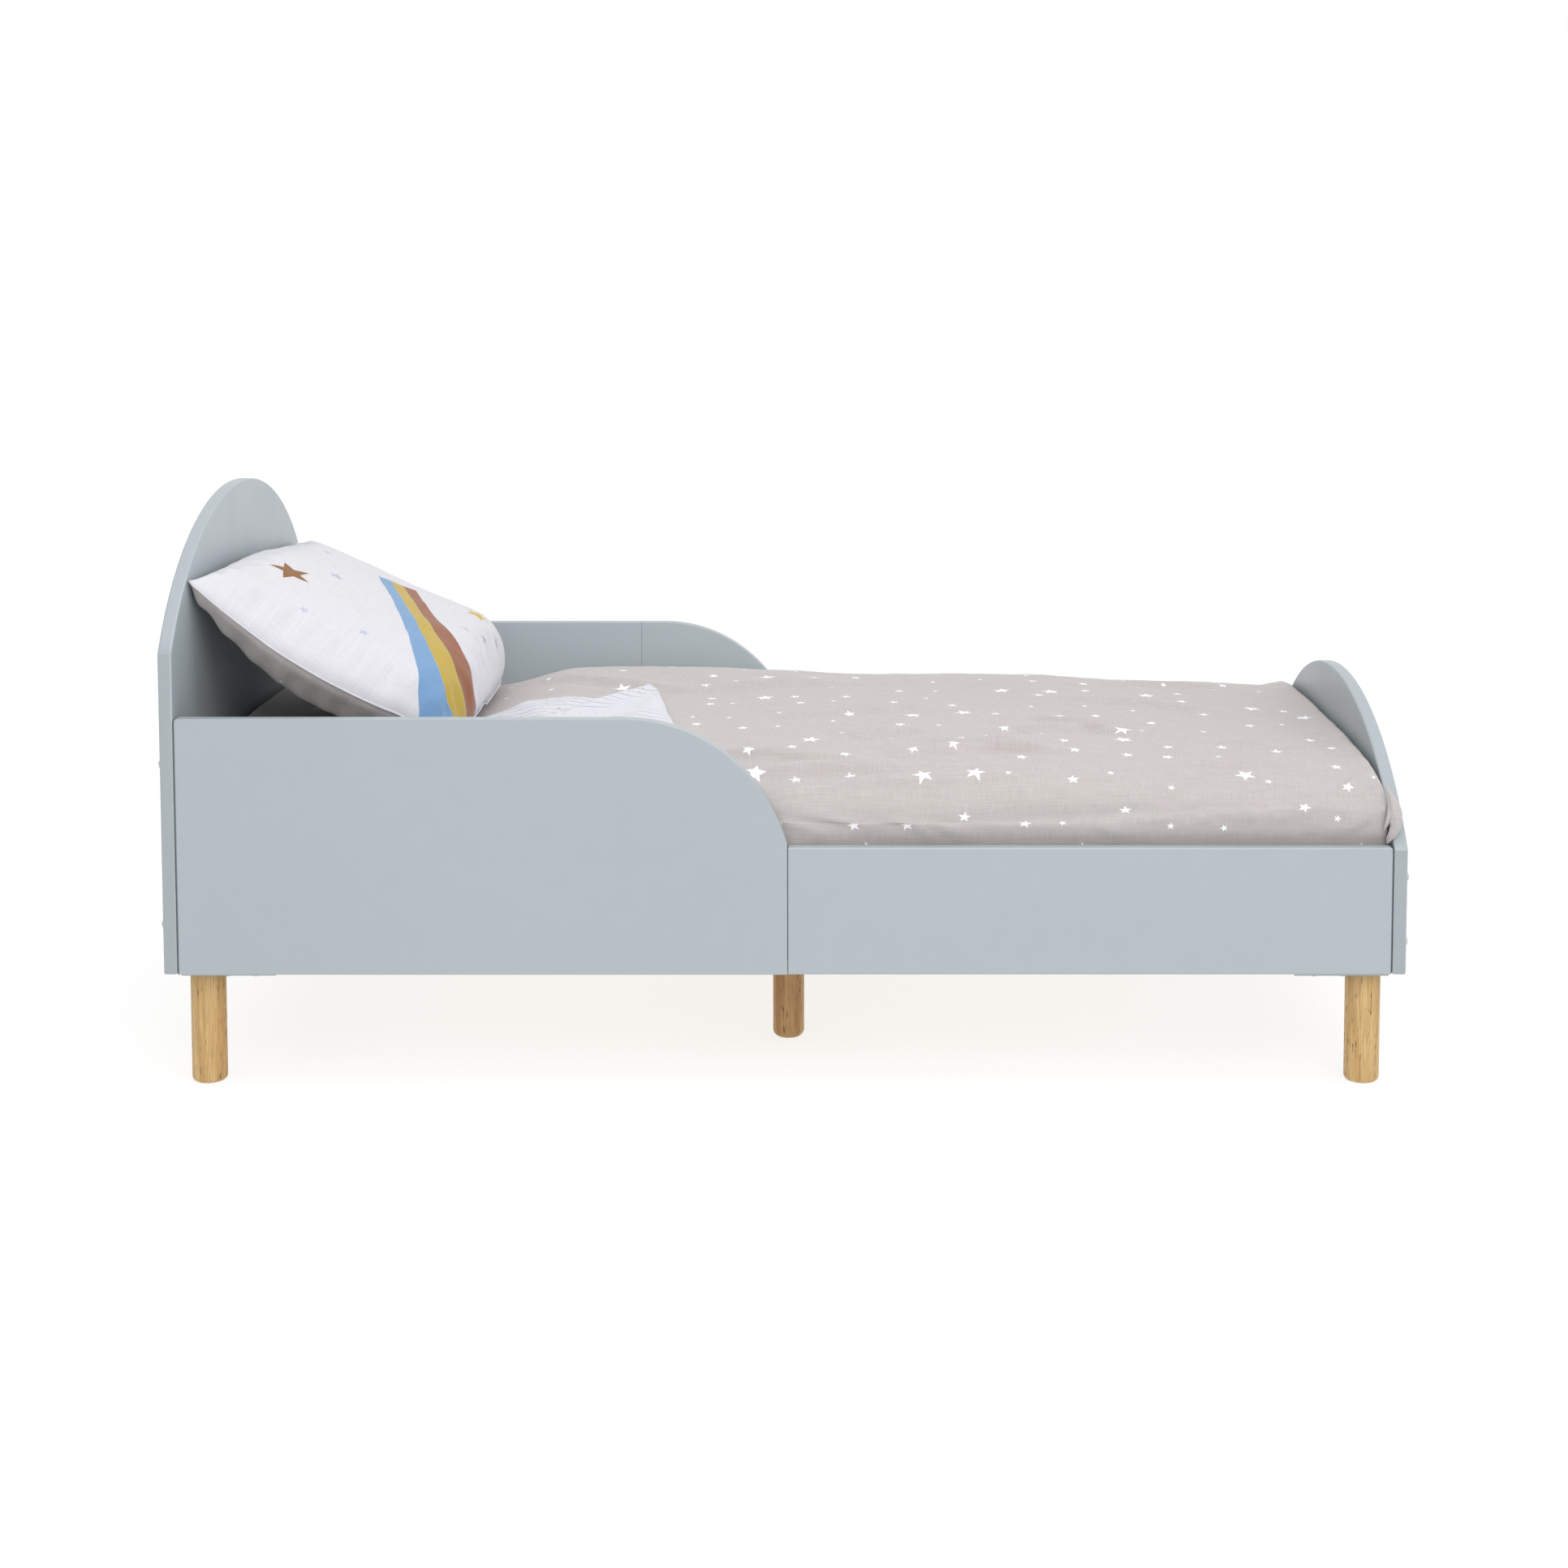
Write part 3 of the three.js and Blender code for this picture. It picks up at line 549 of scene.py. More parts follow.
def turned_leg(node, material, foot_r):
    """A turned dowel: the CAD leg's own size, with a rounder foot and a fine line round its top."""
    lo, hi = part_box(node)
    cx, cy, h = (lo.x + hi.x) / 2, (lo.y + hi.y) / 2, hi.z
    r = (hi.y - lo.y) / 2
    prof = [(0.0, 0.0), (r - foot_r, 0.0)]
    for i in range(1, 9):
        a = -math.pi / 2 + math.pi / 2 * i / 8
        prof.append((r - foot_r + foot_r * math.cos(a), foot_r + foot_r * math.sin(a)))
    prof += [(r, h * 0.35), (r, h * 0.7), (r, h - 0.0016), (r - 0.0004, h - 0.0006), (r - 0.0012, h), (0.0, h)]
    n = 72
    verts, faces = [(cx, cy, prof[0][1])], []
    for p, z in prof[1:-1]:
        for k in range(n):
            a = 2 * math.pi * k / n
            verts.append((cx + p * math.cos(a), cy + p * math.sin(a), z))
    verts.append((cx, cy, h))
    rings = len(prof) - 2
    for k in range(n):
        faces.append((0, 1 + (k + 1) % n, 1 + k))
        for j in range(rings - 1):
            a, b = 1 + j * n + k, 1 + j * n + (k + 1) % n
            faces.append((a, b, b + n, a + n))
        last = 1 + (rings - 1) * n
        faces.append((last + k, last + (k + 1) % n, len(verts) - 1))
    me = mesh_from(node + "_turned", verts, faces)
    me.set_sharp_from_angle(angle=math.radians(50))
    me.materials.append(material)
    o = link(me, node + "_turned")
    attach(o, "frame")
    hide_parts(node)
    return o


for n in sorted(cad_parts):
    if n.startswith("leg_"):
        # the centre leg takes the browner oak that also carries painted shade
        turned_leg(n, OAK_BROWNER_AND_SHADED if "centre" in n else OAK, 0.0085 if "centre" in n else 0.006)

for n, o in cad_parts.items():
    if n.startswith(("bolt_", "barrel_", "block_screw")):
        o.data.materials.clear()
        o.data.materials.append(STEEL)


# ------------------------------------------------------------------ cloth simulation
def settle(o, frames, pins=None, pressure=0.0, gravity=0.0, quality=6, tension=15.0, bending=0.5, shrink=0.0,
           mass=0.3, damping=5.0):
    """Runs Blender's cloth on o and leaves the result in its mesh, with no modifier."""
    if pins is not None:
        g = o.vertex_groups.new(name="pins")
        for w in np.unique(np.round(pins[pins > 0], 3)):
            g.add([int(i) for i in np.nonzero(np.abs(pins - w) < 0.0006)[0]], float(w), "REPLACE")
    m = o.modifiers.new("cloth", "CLOTH")
    s = m.settings
    s.quality = quality
    s.mass = mass
    s.tension_stiffness = s.compression_stiffness = tension
    s.shear_stiffness = tension * 0.4
    s.bending_stiffness = bending
    s.tension_damping = s.compression_damping = s.shear_damping = damping
    s.bending_damping = 0.5
    s.air_damping = 1.0
    s.shrink_min = shrink
    s.effector_weights.gravity = gravity
    if pressure:
        s.use_pressure = True
        s.uniform_pressure_force = pressure
    if pins is not None:
        s.vertex_group_mass = "pins"
        s.pin_stiffness = 1.0
    m.collision_settings.use_collision = False
    m.collision_settings.use_self_collision = False
    m.point_cache.frame_start = 1
    m.point_cache.frame_end = frames
    scene.frame_start, scene.frame_end = 1, frames
    for f in range(1, frames + 1):
        scene.frame_set(f)
    dg = bpy.context.evaluated_depsgraph_get()
    ev = o.evaluated_get(dg)
    me = ev.to_mesh()
    co = np.zeros(len(me.vertices) * 3)
    me.vertices.foreach_get("co", co)
    ev.to_mesh_clear()
    o.modifiers.remove(m)
    o.vertex_groups.clear()
    o.data.vertices.foreach_set("co", co)
    o.data.update()
    scene.frame_set(1)
    return co.reshape(-1, 3)


def grid_faces(nu, nv, base=0, flip=False):
    i, j = np.meshgrid(np.arange(nu - 1), np.arange(nv - 1), indexing="ij")
    a = (i * nv + j).ravel() + base
    f = np.stack([a, a + nv, a + nv + 1, a + 1], 1)
    return f[:, ::-1] if flip else f


# ------------------------------------------------------------------ mattress
def make_mattress():
    lo, hi = MAT_LO + Vector((0.001, 0.001, 0.0006)), MAT_HI - Vector((0.001, 0.001, 0.0006))
    hx, hy = (hi.x - lo.x) / 2, (hi.y - lo.y) / 2
    cr = 0.038
    # outline walked round the plan, rings down the side, dimpled top and bottom
    outline = []
    for cx, cy, a0 in ((hx - cr, hy - cr, 0), (-hx + cr, hy - cr, 90), (-hx + cr, -hy + cr, 180), (hx - cr, -hy + cr, 270)):
        for k in range(9):
            a = math.radians(a0 + 90 * k / 8)
            outline.append((cx + cr * math.cos(a), cy + cr * math.sin(a)))
    dense = []
    for k in range(len(outline)):
        p, q = np.array(outline[k]), np.array(outline[(k + 1) % len(outline)])
        steps = max(1, int(np.linalg.norm(q - p) / 0.03))
        for s in range(steps):
            dense.append(p + (q - p) * s / steps)
    ring = np.array(dense)
    n = len(ring)
    h = hi.z - lo.z
    levels = []
    for t in np.linspace(0, 1, 13):
        bulge = 0.0 - 0.004 * (1 - math.sin(math.pi * t))
        levels.append((t, bulge))
    verts = []
    for t, off in levels:
        scale = np.array([(hx + off) / hx, (hy + off) / hy])
        for p in ring * scale:
            verts.append((p[0], p[1], lo.z + h * t))
    faces = []
    for L in range(len(levels) - 1):
        for k in range(n):
            a, b = L * n + k, L * n + (k + 1) % n
            faces.append((a, b, b + n, a + n))
    # top and bottom: rings drawn in to the middle line, quilted in shallow dimples
    for top in (False, True):
        base = (len(levels) - 1) * n if top else 0
        prev = list(range(base, base + n))
        rings_in = 12
        for r in range(1, rings_in + 1):
            f = r / rings_in
            cur = []
            for k in range(n):
                p = ring[k]
                core = np.array([np.clip(p[0], -(hx - hy * 0.98), hx - hy * 0.98), 0.0])
                q = p * (1 - f) + core * f
                quilt = 0.0022 * abs(math.sin(q[0] * math.pi / 0.14)) * abs(math.sin(q[1] * math.pi / 0.14 + 0.6))
                rise = 0.0045 * math.sin(math.pi / 2 * min(1, f * 2.2)) - 0.0045 + quilt - 0.0022
                z = hi.z + rise if top else lo.z - rise
                cur.append(len(verts))
                verts.append((q[0], q[1], z))
            for k in range(n):
                a, b, c, d = prev[k], prev[(k + 1) % n], cur[(k + 1) % n], cur[k]
                faces.append((a, b, c, d) if top else (d, c, b, a))
            prev = cur
    me = mesh_from("mattress_piece", verts, faces)
    bm = bmesh.new()
    bm.from_mesh(me)
    bmesh.ops.remove_doubles(bm, verts=bm.verts, dist=0.0008)
    bmesh.ops.holes_fill(bm, edges=[e for e in bm.edges if e.is_boundary], sides=0)
    bmesh.ops.recalc_face_normals(bm, faces=bm.faces)
    bm.to_mesh(me)
    bm.free()
    me.polygons.foreach_set("use_smooth", np.ones(len(me.polygons), bool))
    me.materials.append(TICKING)
    o = link(me, "mattress_piece")
    # piping round the upper and the lower edge
    for name, z in (("mattress_piping_top", hi.z - 0.006), ("mattress_piping_bottom", lo.z + 0.006)):
        pts = ring * np.array([(hx - 0.0035) / hx, (hy - 0.0035) / hy])
        pv, pf, m = [], [], 10
        for k in range(n):
            d = pts[(k + 1) % n] - pts[k - 1]
            nrm = np.array([d[1], -d[0]]) / np.linalg.norm(d)
            for q in range(m):
                a = 2 * math.pi * q / m
                pv.append((pts[k][0] + nrm[0] * 0.003 * math.cos(a), pts[k][1] + nrm[1] * 0.003 * math.cos(a), z + 0.003 * math.sin(a)))
        for k in range(n):
            for q in range(m):
                a, b = k * m + q, k * m + (q + 1) % m
                c, d = ((k + 1) % n) * m + (q + 1) % m, ((k + 1) % n) * m + q
                pf.append((a, d, c, b))
        pm = mesh_from(name, pv, pf)
        pm.materials.append(TICKING)
        p = link(pm, name)
        p.parent = o
    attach(o, "mattress")
    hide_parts("mattress")
    return o


# ------------------------------------------------------------------ duvet
WALL = 0.3534 - 0.0006          # half width of the tucked sides inside the boards
Z_SKIRT = DUV_LO.z + 0.001


def duvet_height(x, y):
    """Top of the made-up duvet: flat crown, lower at the footboard and under the pillow."""
    side = np.abs(y) / 0.3534
    z = 0.3935 - 0.011 * side ** 2
    z = z - 0.010 * smoothstep(0.30, 0.62, x) - 0.016 * smoothstep(0.55, 0.702, x) ** 1.6 * 0.5
    z = z - 0.016 * smoothstep(-0.28, -0.41, x)
    # fuller along the far side
    far = smoothstep(0.08, 0.22, y)
    z = z + far * (0.0145 * smoothstep(-0.45, -0.30, x) * smoothstep(0.10, -0.16, x) + 0.0055 * smoothstep(-0.10, 0.02, x) * smoothstep(0.45, 0.15, x))
    # slow swells of the filling
    z = z + 0.0028 * np.sin(x * 7.3 + 1.1) * np.cos(y * 6.1 + 0.4) * smoothstep(-0.40, -0.2, x)
    z = z + 0.0016 * np.sin(x * 15.0 + y * 9.0 + 0.7) * smoothstep(-0.36, -0.1, x)
    return z


def section(t, top):
    """Y (0 to 1 of the half width) and rise (0 to 1) of the cross-section; t runs 0 wall foot, 1 middle."""
    a = np.clip(t, 0, 1)
    yy = 1 - a
    rise = np.clip(1 - np.clip(yy, 0, 1) ** 9.0, 0, 1) ** (1 / 2.3)
    return yy, rise


def make_duvet():
    x0, x1 = DUV_LO.x + 0.0015, DUV_HI.x - 0.0012
    nu, nv = 184, 124
    X = np.linspace(x0, x1, nu)
    # one half section, sampled densely and then walked at even arc length
    t = np.linspace(0, 1, 4001) ** 3
    yy, rise = section(t, 1)
    zwall = Z_SKIRT + 0.060
    zz = zwall + (0.390 - zwall) * rise
    line = np.stack([np.concatenate([[WALL], yy * WALL]), np.concatenate([[Z_SKIRT], zz])], 1)
    tt = np.concatenate([[-1.0], t])
    arc = np.concatenate([[0], np.cumsum(np.linalg.norm(np.diff(line, axis=0), axis=1))])
    half = arc[-1]
    S = np.linspace(0, 2 * half, nv)
    P = np.zeros((nu, nv, 3))
    for j, s in enumerate(S):
        m = min(s, 2 * half - s)
        sign = -1 if s < half else 1
        if m < 0.060:
            P[:, j, 0], P[:, j, 1], P[:, j, 2] = X, WALL * sign, Z_SKIRT + m
        else:
            a = np.interp(m, arc, tt)
            yv, rv = section(max(a, 0), 1)
            top = duvet_height(X, sign * yv * WALL)
            P[:, j, 0], P[:, j, 1], P[:, j, 2] = X, sign * yv * WALL, zwall + (top - zwall) * rv
    # the foot end is rounded over, most of all at the corners
    side = np.abs(P[:, :, 1]) / WALL
    high = smoothstep(0.325, 0.36, P[:, :, 2])
    end = np.clip((P[:, :, 0] - (x1 - 0.022)) / 0.022, 0, 1)
    P[:, :, 2] -= high * (1 - np.sqrt(1 - 0.97 * end ** 2)) * 0.006
    corner = np.clip((P[:, :, 0] - (x1 - 0.060)) / 0.060, 0, 1) * smoothstep(0.86, 1.0, side)
    P[:, :, 2] -= high * corner ** 2 * 0.004
    # the near wall swells out over the low rail
    over = smoothstep(0.03, 0.12, P[:, :, 0]) * smoothstep(RAIL_TOP + 0.002, RAIL_TOP + 0.03, P[:, :, 2]) * (side > 0.85)
    P[:, :, 1] += np.sign(P[:, :, 1]) * over * 0.0055
    groove = smoothstep(RAIL_TOP + 0.013, RAIL_TOP + 0.003, P[:, :, 2]) * (side > 0.85)
    P[:, :, 1] -= np.sign(P[:, :, 1]) * groove * 0.0030
    U = np.repeat(X[:, None], nv, 1)
    V = np.repeat(S[None, :], nu, 0)
    verts = P.reshape(-1, 3)
    uvs = np.stack([U.ravel(), V.ravel()], 1)
    me = mesh_from("duvet_cover_top", verts, grid_faces(nu, nv), uvs)
    o = link(me, "duvet_cover_top")
    pins = np.zeros((nu, nv))
    pins[:, :8] = pins[:, -8:] = 1
    pins[:2, :] = pins[-2:, :] = 1
    got = settle(o, 24, pins=pins.ravel(), gravity=0.2, quality=5, tension=12, bending=0.25, shrink=-0.018, mass=0.25)
    move = got - verts
    far = np.linalg.norm(move, axis=1)
    cap = 0.010
    move *= (cap * np.tanh(far / cap) / np.maximum(far, 1e-9))[:, None]
    verts = verts + move
    bpy.data.objects.remove(o)
    P = verts.reshape(nu, nv, 3).copy()
    P = shape_folds(P, U, V)
    # keep the sides inside the boards and over the mattress
    y, z, x = P[:, :, 1], P[:, :, 2], P[:, :, 0]
    out_lim = np.where((x > 0.035) & (z > RAIL_TOP + 0.003), 0.3610, WALL)
    P[:, :, 1] = np.clip(y, -out_lim, out_lim)
    P[:, :, 0] = np.clip(x, DUV_LO.x + 0.001, DUV_HI.x - 0.001)
    inner_y = 0.3534 - 0.0064 + 0.0008
    skirt = z < MAT_HI.z + 0.004
    P[:, :, 1] = np.where(skirt, np.sign(P[:, :, 1]) * np.maximum(np.abs(P[:, :, 1]), inner_y + 0.002), P[:, :, 1])
    # under side: over the mattress top and down inside the skirts
    Q = P.copy()
    ins = 0.3534 - 0.0064 + 0.0006
    Q[:, :, 1] = np.clip(P[:, :, 1], -ins, ins)
    Q[:, :, 2] = np.minimum(P[:, :, 2] - 0.0035, MAT_HI.z + 0.0012)
    low = P[:, :, 2] < MAT_HI.z + 0.005
    Q[:, :, 2] = np.where(low, np.minimum(P[:, :, 2], MAT_HI.z + 0.0012), Q[:, :, 2])
    Q[:, :, 0] = np.clip(P[:, :, 0], x0 + 0.002, x1 - 0.002)
    d = shell(P, Q, "duvet_piece", uvs, LINEN)
    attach(d, "duvet")
    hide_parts("duvet")
    return d, P, V


def shell(P, Q, name, uvs, material, levels=1):
    """A closed piece from an upper and an under grid that share their border."""
    nu, nv = P.shape[:2]
    n = nu * nv
    border = [i * nv for i in range(nu)] + [(nu - 1) * nv + j for j in range(1, nv)] + \
             [i * nv + nv - 1 for i in range(nu - 2, -1, -1)] + [j for j in range(nv - 2, 0, -1)]
    border = np.array(border)
    nxt = np.roll(border, -1)
    faces = np.concatenate([grid_faces(nu, nv), grid_faces(nu, nv, n, flip=True),
                            np.stack([border + n, nxt + n, nxt, border], 1)])
    me = mesh_from(name, np.concatenate([P.reshape(-1, 3), Q.reshape(-1, 3)]), faces, np.concatenate([uvs, uvs + [2.0, 0.3]]))
    bm = bmesh.new()
    bm.from_mesh(me)
    bmesh.ops.recalc_face_normals(bm, faces=bm.faces)
    bm.to_mesh(me)
    bm.free()
    me.materials.append(material)
    o = link(me, name)
    if levels:
        sub = o.modifiers.new("fine", "SUBSURF")
        sub.levels = sub.render_levels = levels
    return o


def crease(x, s, p, q, width, height, bow=0.0):
    """Height of a soft fold from p to q in the flat cloth; its lower side is the steeper."""
    p, q = np.array(p), np.array(q)
    d = q - p
    length = np.linalg.norm(d)
    d = d / length
    along = (x - p[0]) * d[0] + (s - p[1]) * d[1]
    off = (x - p[0]) * -d[1] + (s - p[1]) * d[0]
    t = np.clip(along / length, 0, 1)
    off = off - bow * np.sin(np.pi * t)
    fade = np.sin(np.pi * t) ** 0.8
    w = np.where(off > 0, width, width * 0.5)
    return height * fade * (np.exp(-(off / w) ** 2) - 0.5 * np.exp(-((off + width * 1.1) / (width * 0.6)) ** 2))


def shape_folds(P, U, V):
    """Creases drawn in after the simulation, where the made-up duvet shows them."""
    x, s = U, V
    L = V.max()
    h = np.zeros_like(x)
    # x along the bed, s up the near wall and over the crown: the shoulder is near s = 0.12
    for p, q, w, k, b in (
            ((-0.06, 0.128), (0.15, 0.150), 0.013, 0.0058, 0.006),
            ((0.06, 0.118), (0.30, 0.128), 0.010, 0.0036, -0.004),
            ((-0.12, 0.180), (0.10, 0.165), 0.016, 0.0045, 0.008),
            ((0.12, 0.170), (0.33, 0.215), 0.015, 0.0048, 0.010),
            ((0.16, 0.235), (0.36, 0.205), 0.014, 0.0042, -0.008),
            ((0.05, 0.250), (0.20, 0.290), 0.017, 0.0036, 0.006),
            ((0.24, 0.290), (0.42, 0.340), 0.018, 0.0040, 0.010),
            ((0.30, 0.390), (0.44, 0.300), 0.015, 0.0040, 0.0),
            ((-0.02, 0.360), (0.22, 0.420), 0.020, 0.0032, 0.012),
            ((0.34, 0.520), (0.58, 0.450), 0.020, 0.0032, 0.010),
            ((-0.16, 0.560), (0.10, 0.620), 0.022, 0.0032, 0.0),
            ((-0.36, 0.640), (-0.12, 0.560), 0.018, 0.0036, 0.0),
            ((0.44, 0.150), (0.63, 0.190), 0.015, 0.0036, 0.006),
            ((0.50, 0.270), (0.66, 0.240), 0.016, 0.0032, 0.0),
            ((0.40, 0.640), (0.62, 0.690), 0.018, 0.0030, 0.0),
            ((0.655, 0.110), (0.690, 0.160), 0.010, 0.0035, 0.0),
            ((-0.02, 0.058), (0.055, 0.030), 0.008, 0.0038, 0.0),
            ((0.010, 0.072), (0.10, 0.042), 0.009, 0.0032, 0.004),
            ((0.115, 0.066), (0.175, 0.030), 0.007, 0.0040, 0.003),
            ((0.150, 0.060), (0.215, 0.032), 0.008, 0.0030, 0.0),
            ((0.350, 0.054), (0.400, 0.030), 0.008, 0.0022, 0.0),
            ((0.560, 0.050), (0.640, 0.088), 0.010, 0.0026, 0.0),
            ((0.640, 0.036), (0.690, 0.066), 0.008, 0.0034, 0.0)):
        top = 1.0 if max(p[1], q[1]) > 0.115 else 0.0
        h += crease(x, s, p, q, w * (1 - 0.18 * top), k * (1.2 + 0.9 * top), b)
    # a fine, stretched crumple over the whole cover
    h += 0.0009 * fbm(x * 0.55 + 3.0, s, 24.0, 5, 3) + 0.0007 * fbm(x + 1.0, s * 0.6, 30.0, 9, 3)
    h += 0.0016 * fbm(x, s, 9.0, 2, 2)
    fade = smoothstep(0.024, 0.040, V) * smoothstep(0.024, 0.040, L - V)
    h *= fade
    du = np.gradient(P, axis=0)
    dv = np.gradient(P, axis=1)
    nrm = np.cross(du, dv)
    nrm /= np.maximum(np.linalg.norm(nrm, axis=2, keepdims=True), 1e-9)
    nrm *= np.sign(nrm[nrm.shape[0] // 2, nrm.shape[1] // 2, 2])
    return P + nrm * h[:, :, None]


def surface_at(P, x, y):
    """Height of the finished duvet under (x, y), from its grid."""
    xs = P[:, 0, 0]
    i = np.clip(np.searchsorted(xs, x), 1, len(xs) - 1)
    out = np.zeros(np.shape(x))
    for k in np.ndindex(out.shape):
        row = P[i[k]]
        order = np.argsort(row[:, 1])
        out[k] = np.interp(y[k], row[order, 1], row[order, 2])
    return out


def polyline(points, n):
    pts = np.array(points, float)
    d = np.concatenate([[0], np.cumsum(np.linalg.norm(np.diff(pts, axis=0), axis=1))])
    t = np.linspace(0, d[-1], n)
    out = np.stack([np.interp(t, d, pts[:, 0]), np.interp(t, d, pts[:, 1])], 1)
    # soften the polyline's corners, its ends kept
    for _ in range(5):
        out[1:-1] = 0.25 * out[:-2] + 0.5 * out[1:-1] + 0.25 * out[2:]
    return out


def make_flap(duvet_grid):
    """The duvet's near head corner turned back over itself, white reverse up."""
    nu, nv = 60, 66
    left = polyline([(-0.455, -0.3500), (-0.425, -0.200), (-0.400, -0.040)], nv)
    right = polyline([(-0.114, -0.3500), (-0.126, -0.250), (-0.136, -0.153), (-0.155, -0.050), (-0.164, 0.020),
                      (-0.172, 0.068), (-0.186, 0.108)], nv)
    near = polyline([(-0.455, -0.3500), (-0.114, -0.3500)], nu)
    far = polyline([(-0.400, -0.040), (-0.374, 0.004), (-0.344, 0.036), (-0.300, 0.044), (-0.262, 0.038),
                    (-0.238, 0.054), (-0.214, 0.080), (-0.186, 0.108)], nu)
    a = np.linspace(0, 1, nu)[:, None, None]
    b = np.linspace(0, 1, nv)[None, :, None]
    plan = (1 - b) * near[:, None] + b * far[:, None] + (1 - a) * left[None] + a * right[None] - \
        ((1 - a) * (1 - b) * near[0] + a * (1 - b) * near[-1] + (1 - a) * b * far[0] + a * b * far[-1])
    x, y = plan[:, :, 0], plan[:, :, 1]
    base = surface_at(duvet_grid, x, y)
    # distance in from the three free edges
    ei = np.minimum(np.arange(nu), nu - 1 - np.arange(nu))[:, None] * 0.0052
    ej = (nv - 1 - np.arange(nv))[None, :] * 0.0058
    edge = np.minimum(ei, ej)
    body = np.clip(1 - (1 - np.clip(edge / 0.030, 0, 1)) ** 2, 0, 1) ** 0.5
    lift = 0.0120 * body
    tipd = np.hypot(x + 0.190, y - 0.120)
    curl = 0.003 * np.exp(-(tipd / 0.045) ** 2)
    soft = 0.0026 * fbm(x, y, 12.0, 21, 3) + \
        0.0045 * np.exp(-(((x + 0.222) - (y - 0.04) * 0.55) / 0.014) ** 2) * smoothstep(-0.12, 0.02, y) - \
        0.0040 * np.exp(-(((x + 0.250) - (y - 0.02) * 0.50) / 0.010) ** 2) * smoothstep(-0.15, 0.0, y) + \
        0.0034 * np.exp(-(((x + 0.335) + (y + 0.02) * 0.35) / 0.016) ** 2) + \
        0.0030 * np.exp(-(((x + 0.190) - (y + 0.10) * 0.18) / 0.012) ** 2)
    top = np.zeros((nu, nv, 3))
    top[:, :, 0], top[:, :, 1] = x, y
    top[:, :, 2] = base + 0.0040 + lift + soft * body + curl
    bottom = top.copy()
    bottom[:, :, 2] = np.minimum(top[:, :, 2] - 0.0035, base + 0.0012 + curl * 0.8)
    uv = np.stack([x.ravel(), y.ravel()], 1)
    me = mesh_from("flap_start", top.reshape(-1, 3), grid_faces(nu, nv), uv)
    o = link(me, "flap_start")
    pins = np.zeros((nu, nv))
    pins[0, :] = pins[-1, :] = 1
    pins[:, 0] = pins[:, -1] = 1
    start = top.reshape(-1, 3)
    got = settle(o, 18, pins=pins.ravel(), gravity=0.15, quality=5, tension=12, bending=0.15, shrink=-0.03, mass=0.2)
    move = got - start
    far_ = np.linalg.norm(move, axis=1)
    move *= (0.0065 * np.tanh(far_ / 0.0065) / np.maximum(far_, 1e-9))[:, None]
    top = (start + move).reshape(nu, nv, 3)
    top[:, :, 2] = np.maximum(top[:, :, 2], bottom[:, :, 2] + 0.003)
    bpy.data.objects.remove(o)
    o = shell(top, bottom, "duvet_turned_back_corner", uv, REVERSE)
    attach(o, "duvet")
    return o


def tube(path, radii, name, material, sides=20, uv_at=(5.0, 5.0), crinkle=0.0):
    """A closed rounded roll of cloth along a path; radii are (across, through) at each point."""
    path, radii = np.array(path, float), np.array(radii, float)
    k = np.linspace(0, len(path) - 1, 34)
    idx = np.arange(len(path))

    def smooth(values):
        v = np.stack([np.interp(k, idx, values[:, c]) for c in range(values.shape[1])], 1)
        for _ in range(4):
            v[1:-1] = 0.25 * v[:-2] + 0.5 * v[1:-1] + 0.25 * v[2:]
        return v

    pts, rad = smooth(path), smooth(radii)
    d = np.gradient(pts, axis=0)
    d /= np.linalg.norm(d, axis=1, keepdims=True)
    out = np.array([0.0, -1.0, 0.0])
    across = np.cross(d, out)
    across /= np.linalg.norm(across, axis=1, keepdims=True)
    through = np.cross(across, d)
    verts = []
    for i in range(len(pts)):
        for q in range(sides):
            a = 2 * math.pi * q / sides
            w = 1 + crinkle * math.sin(3 * a + i * 0.5) + crinkle * 0.6 * math.sin(5 * a - i * 0.33)
            verts.append(pts[i] + across[i] * rad[i, 0] * w * math.cos(a) + through[i] * rad[i, 1] * w * math.sin(a))
    faces = []
    for i in range(len(pts) - 1):
        for q in range(sides):
            a, b = i * sides + q, i * sides + (q + 1) % sides
            faces.append((a, b, b + sides, a + sides))
    n = len(verts)
    verts += [pts[0], pts[-1]]
    for q in range(sides):
        faces.append((n, (q + 1) % sides, q))
        last = (len(pts) - 1) * sides
        faces.append((n + 1, last + q, last + (q + 1) % sides))
    uv = [(uv_at[0] + q / sides * 0.06, uv_at[1] + i * 0.004) for i in range(len(pts)) for q in range(sides)] + [uv_at, uv_at]
    me = mesh_from(name, verts, faces, np.array(uv))
    bm = bmesh.new()
    bm.from_mesh(me)
    bmesh.ops.recalc_face_normals(bm, faces=bm.faces)
    bm.to_mesh(me)
    bm.free()
    me.materials.append(material)
    o = link(me, name)
    sub = o.modifiers.new("fine", "SUBSURF")
    sub.levels = sub.render_levels = 1
    return o


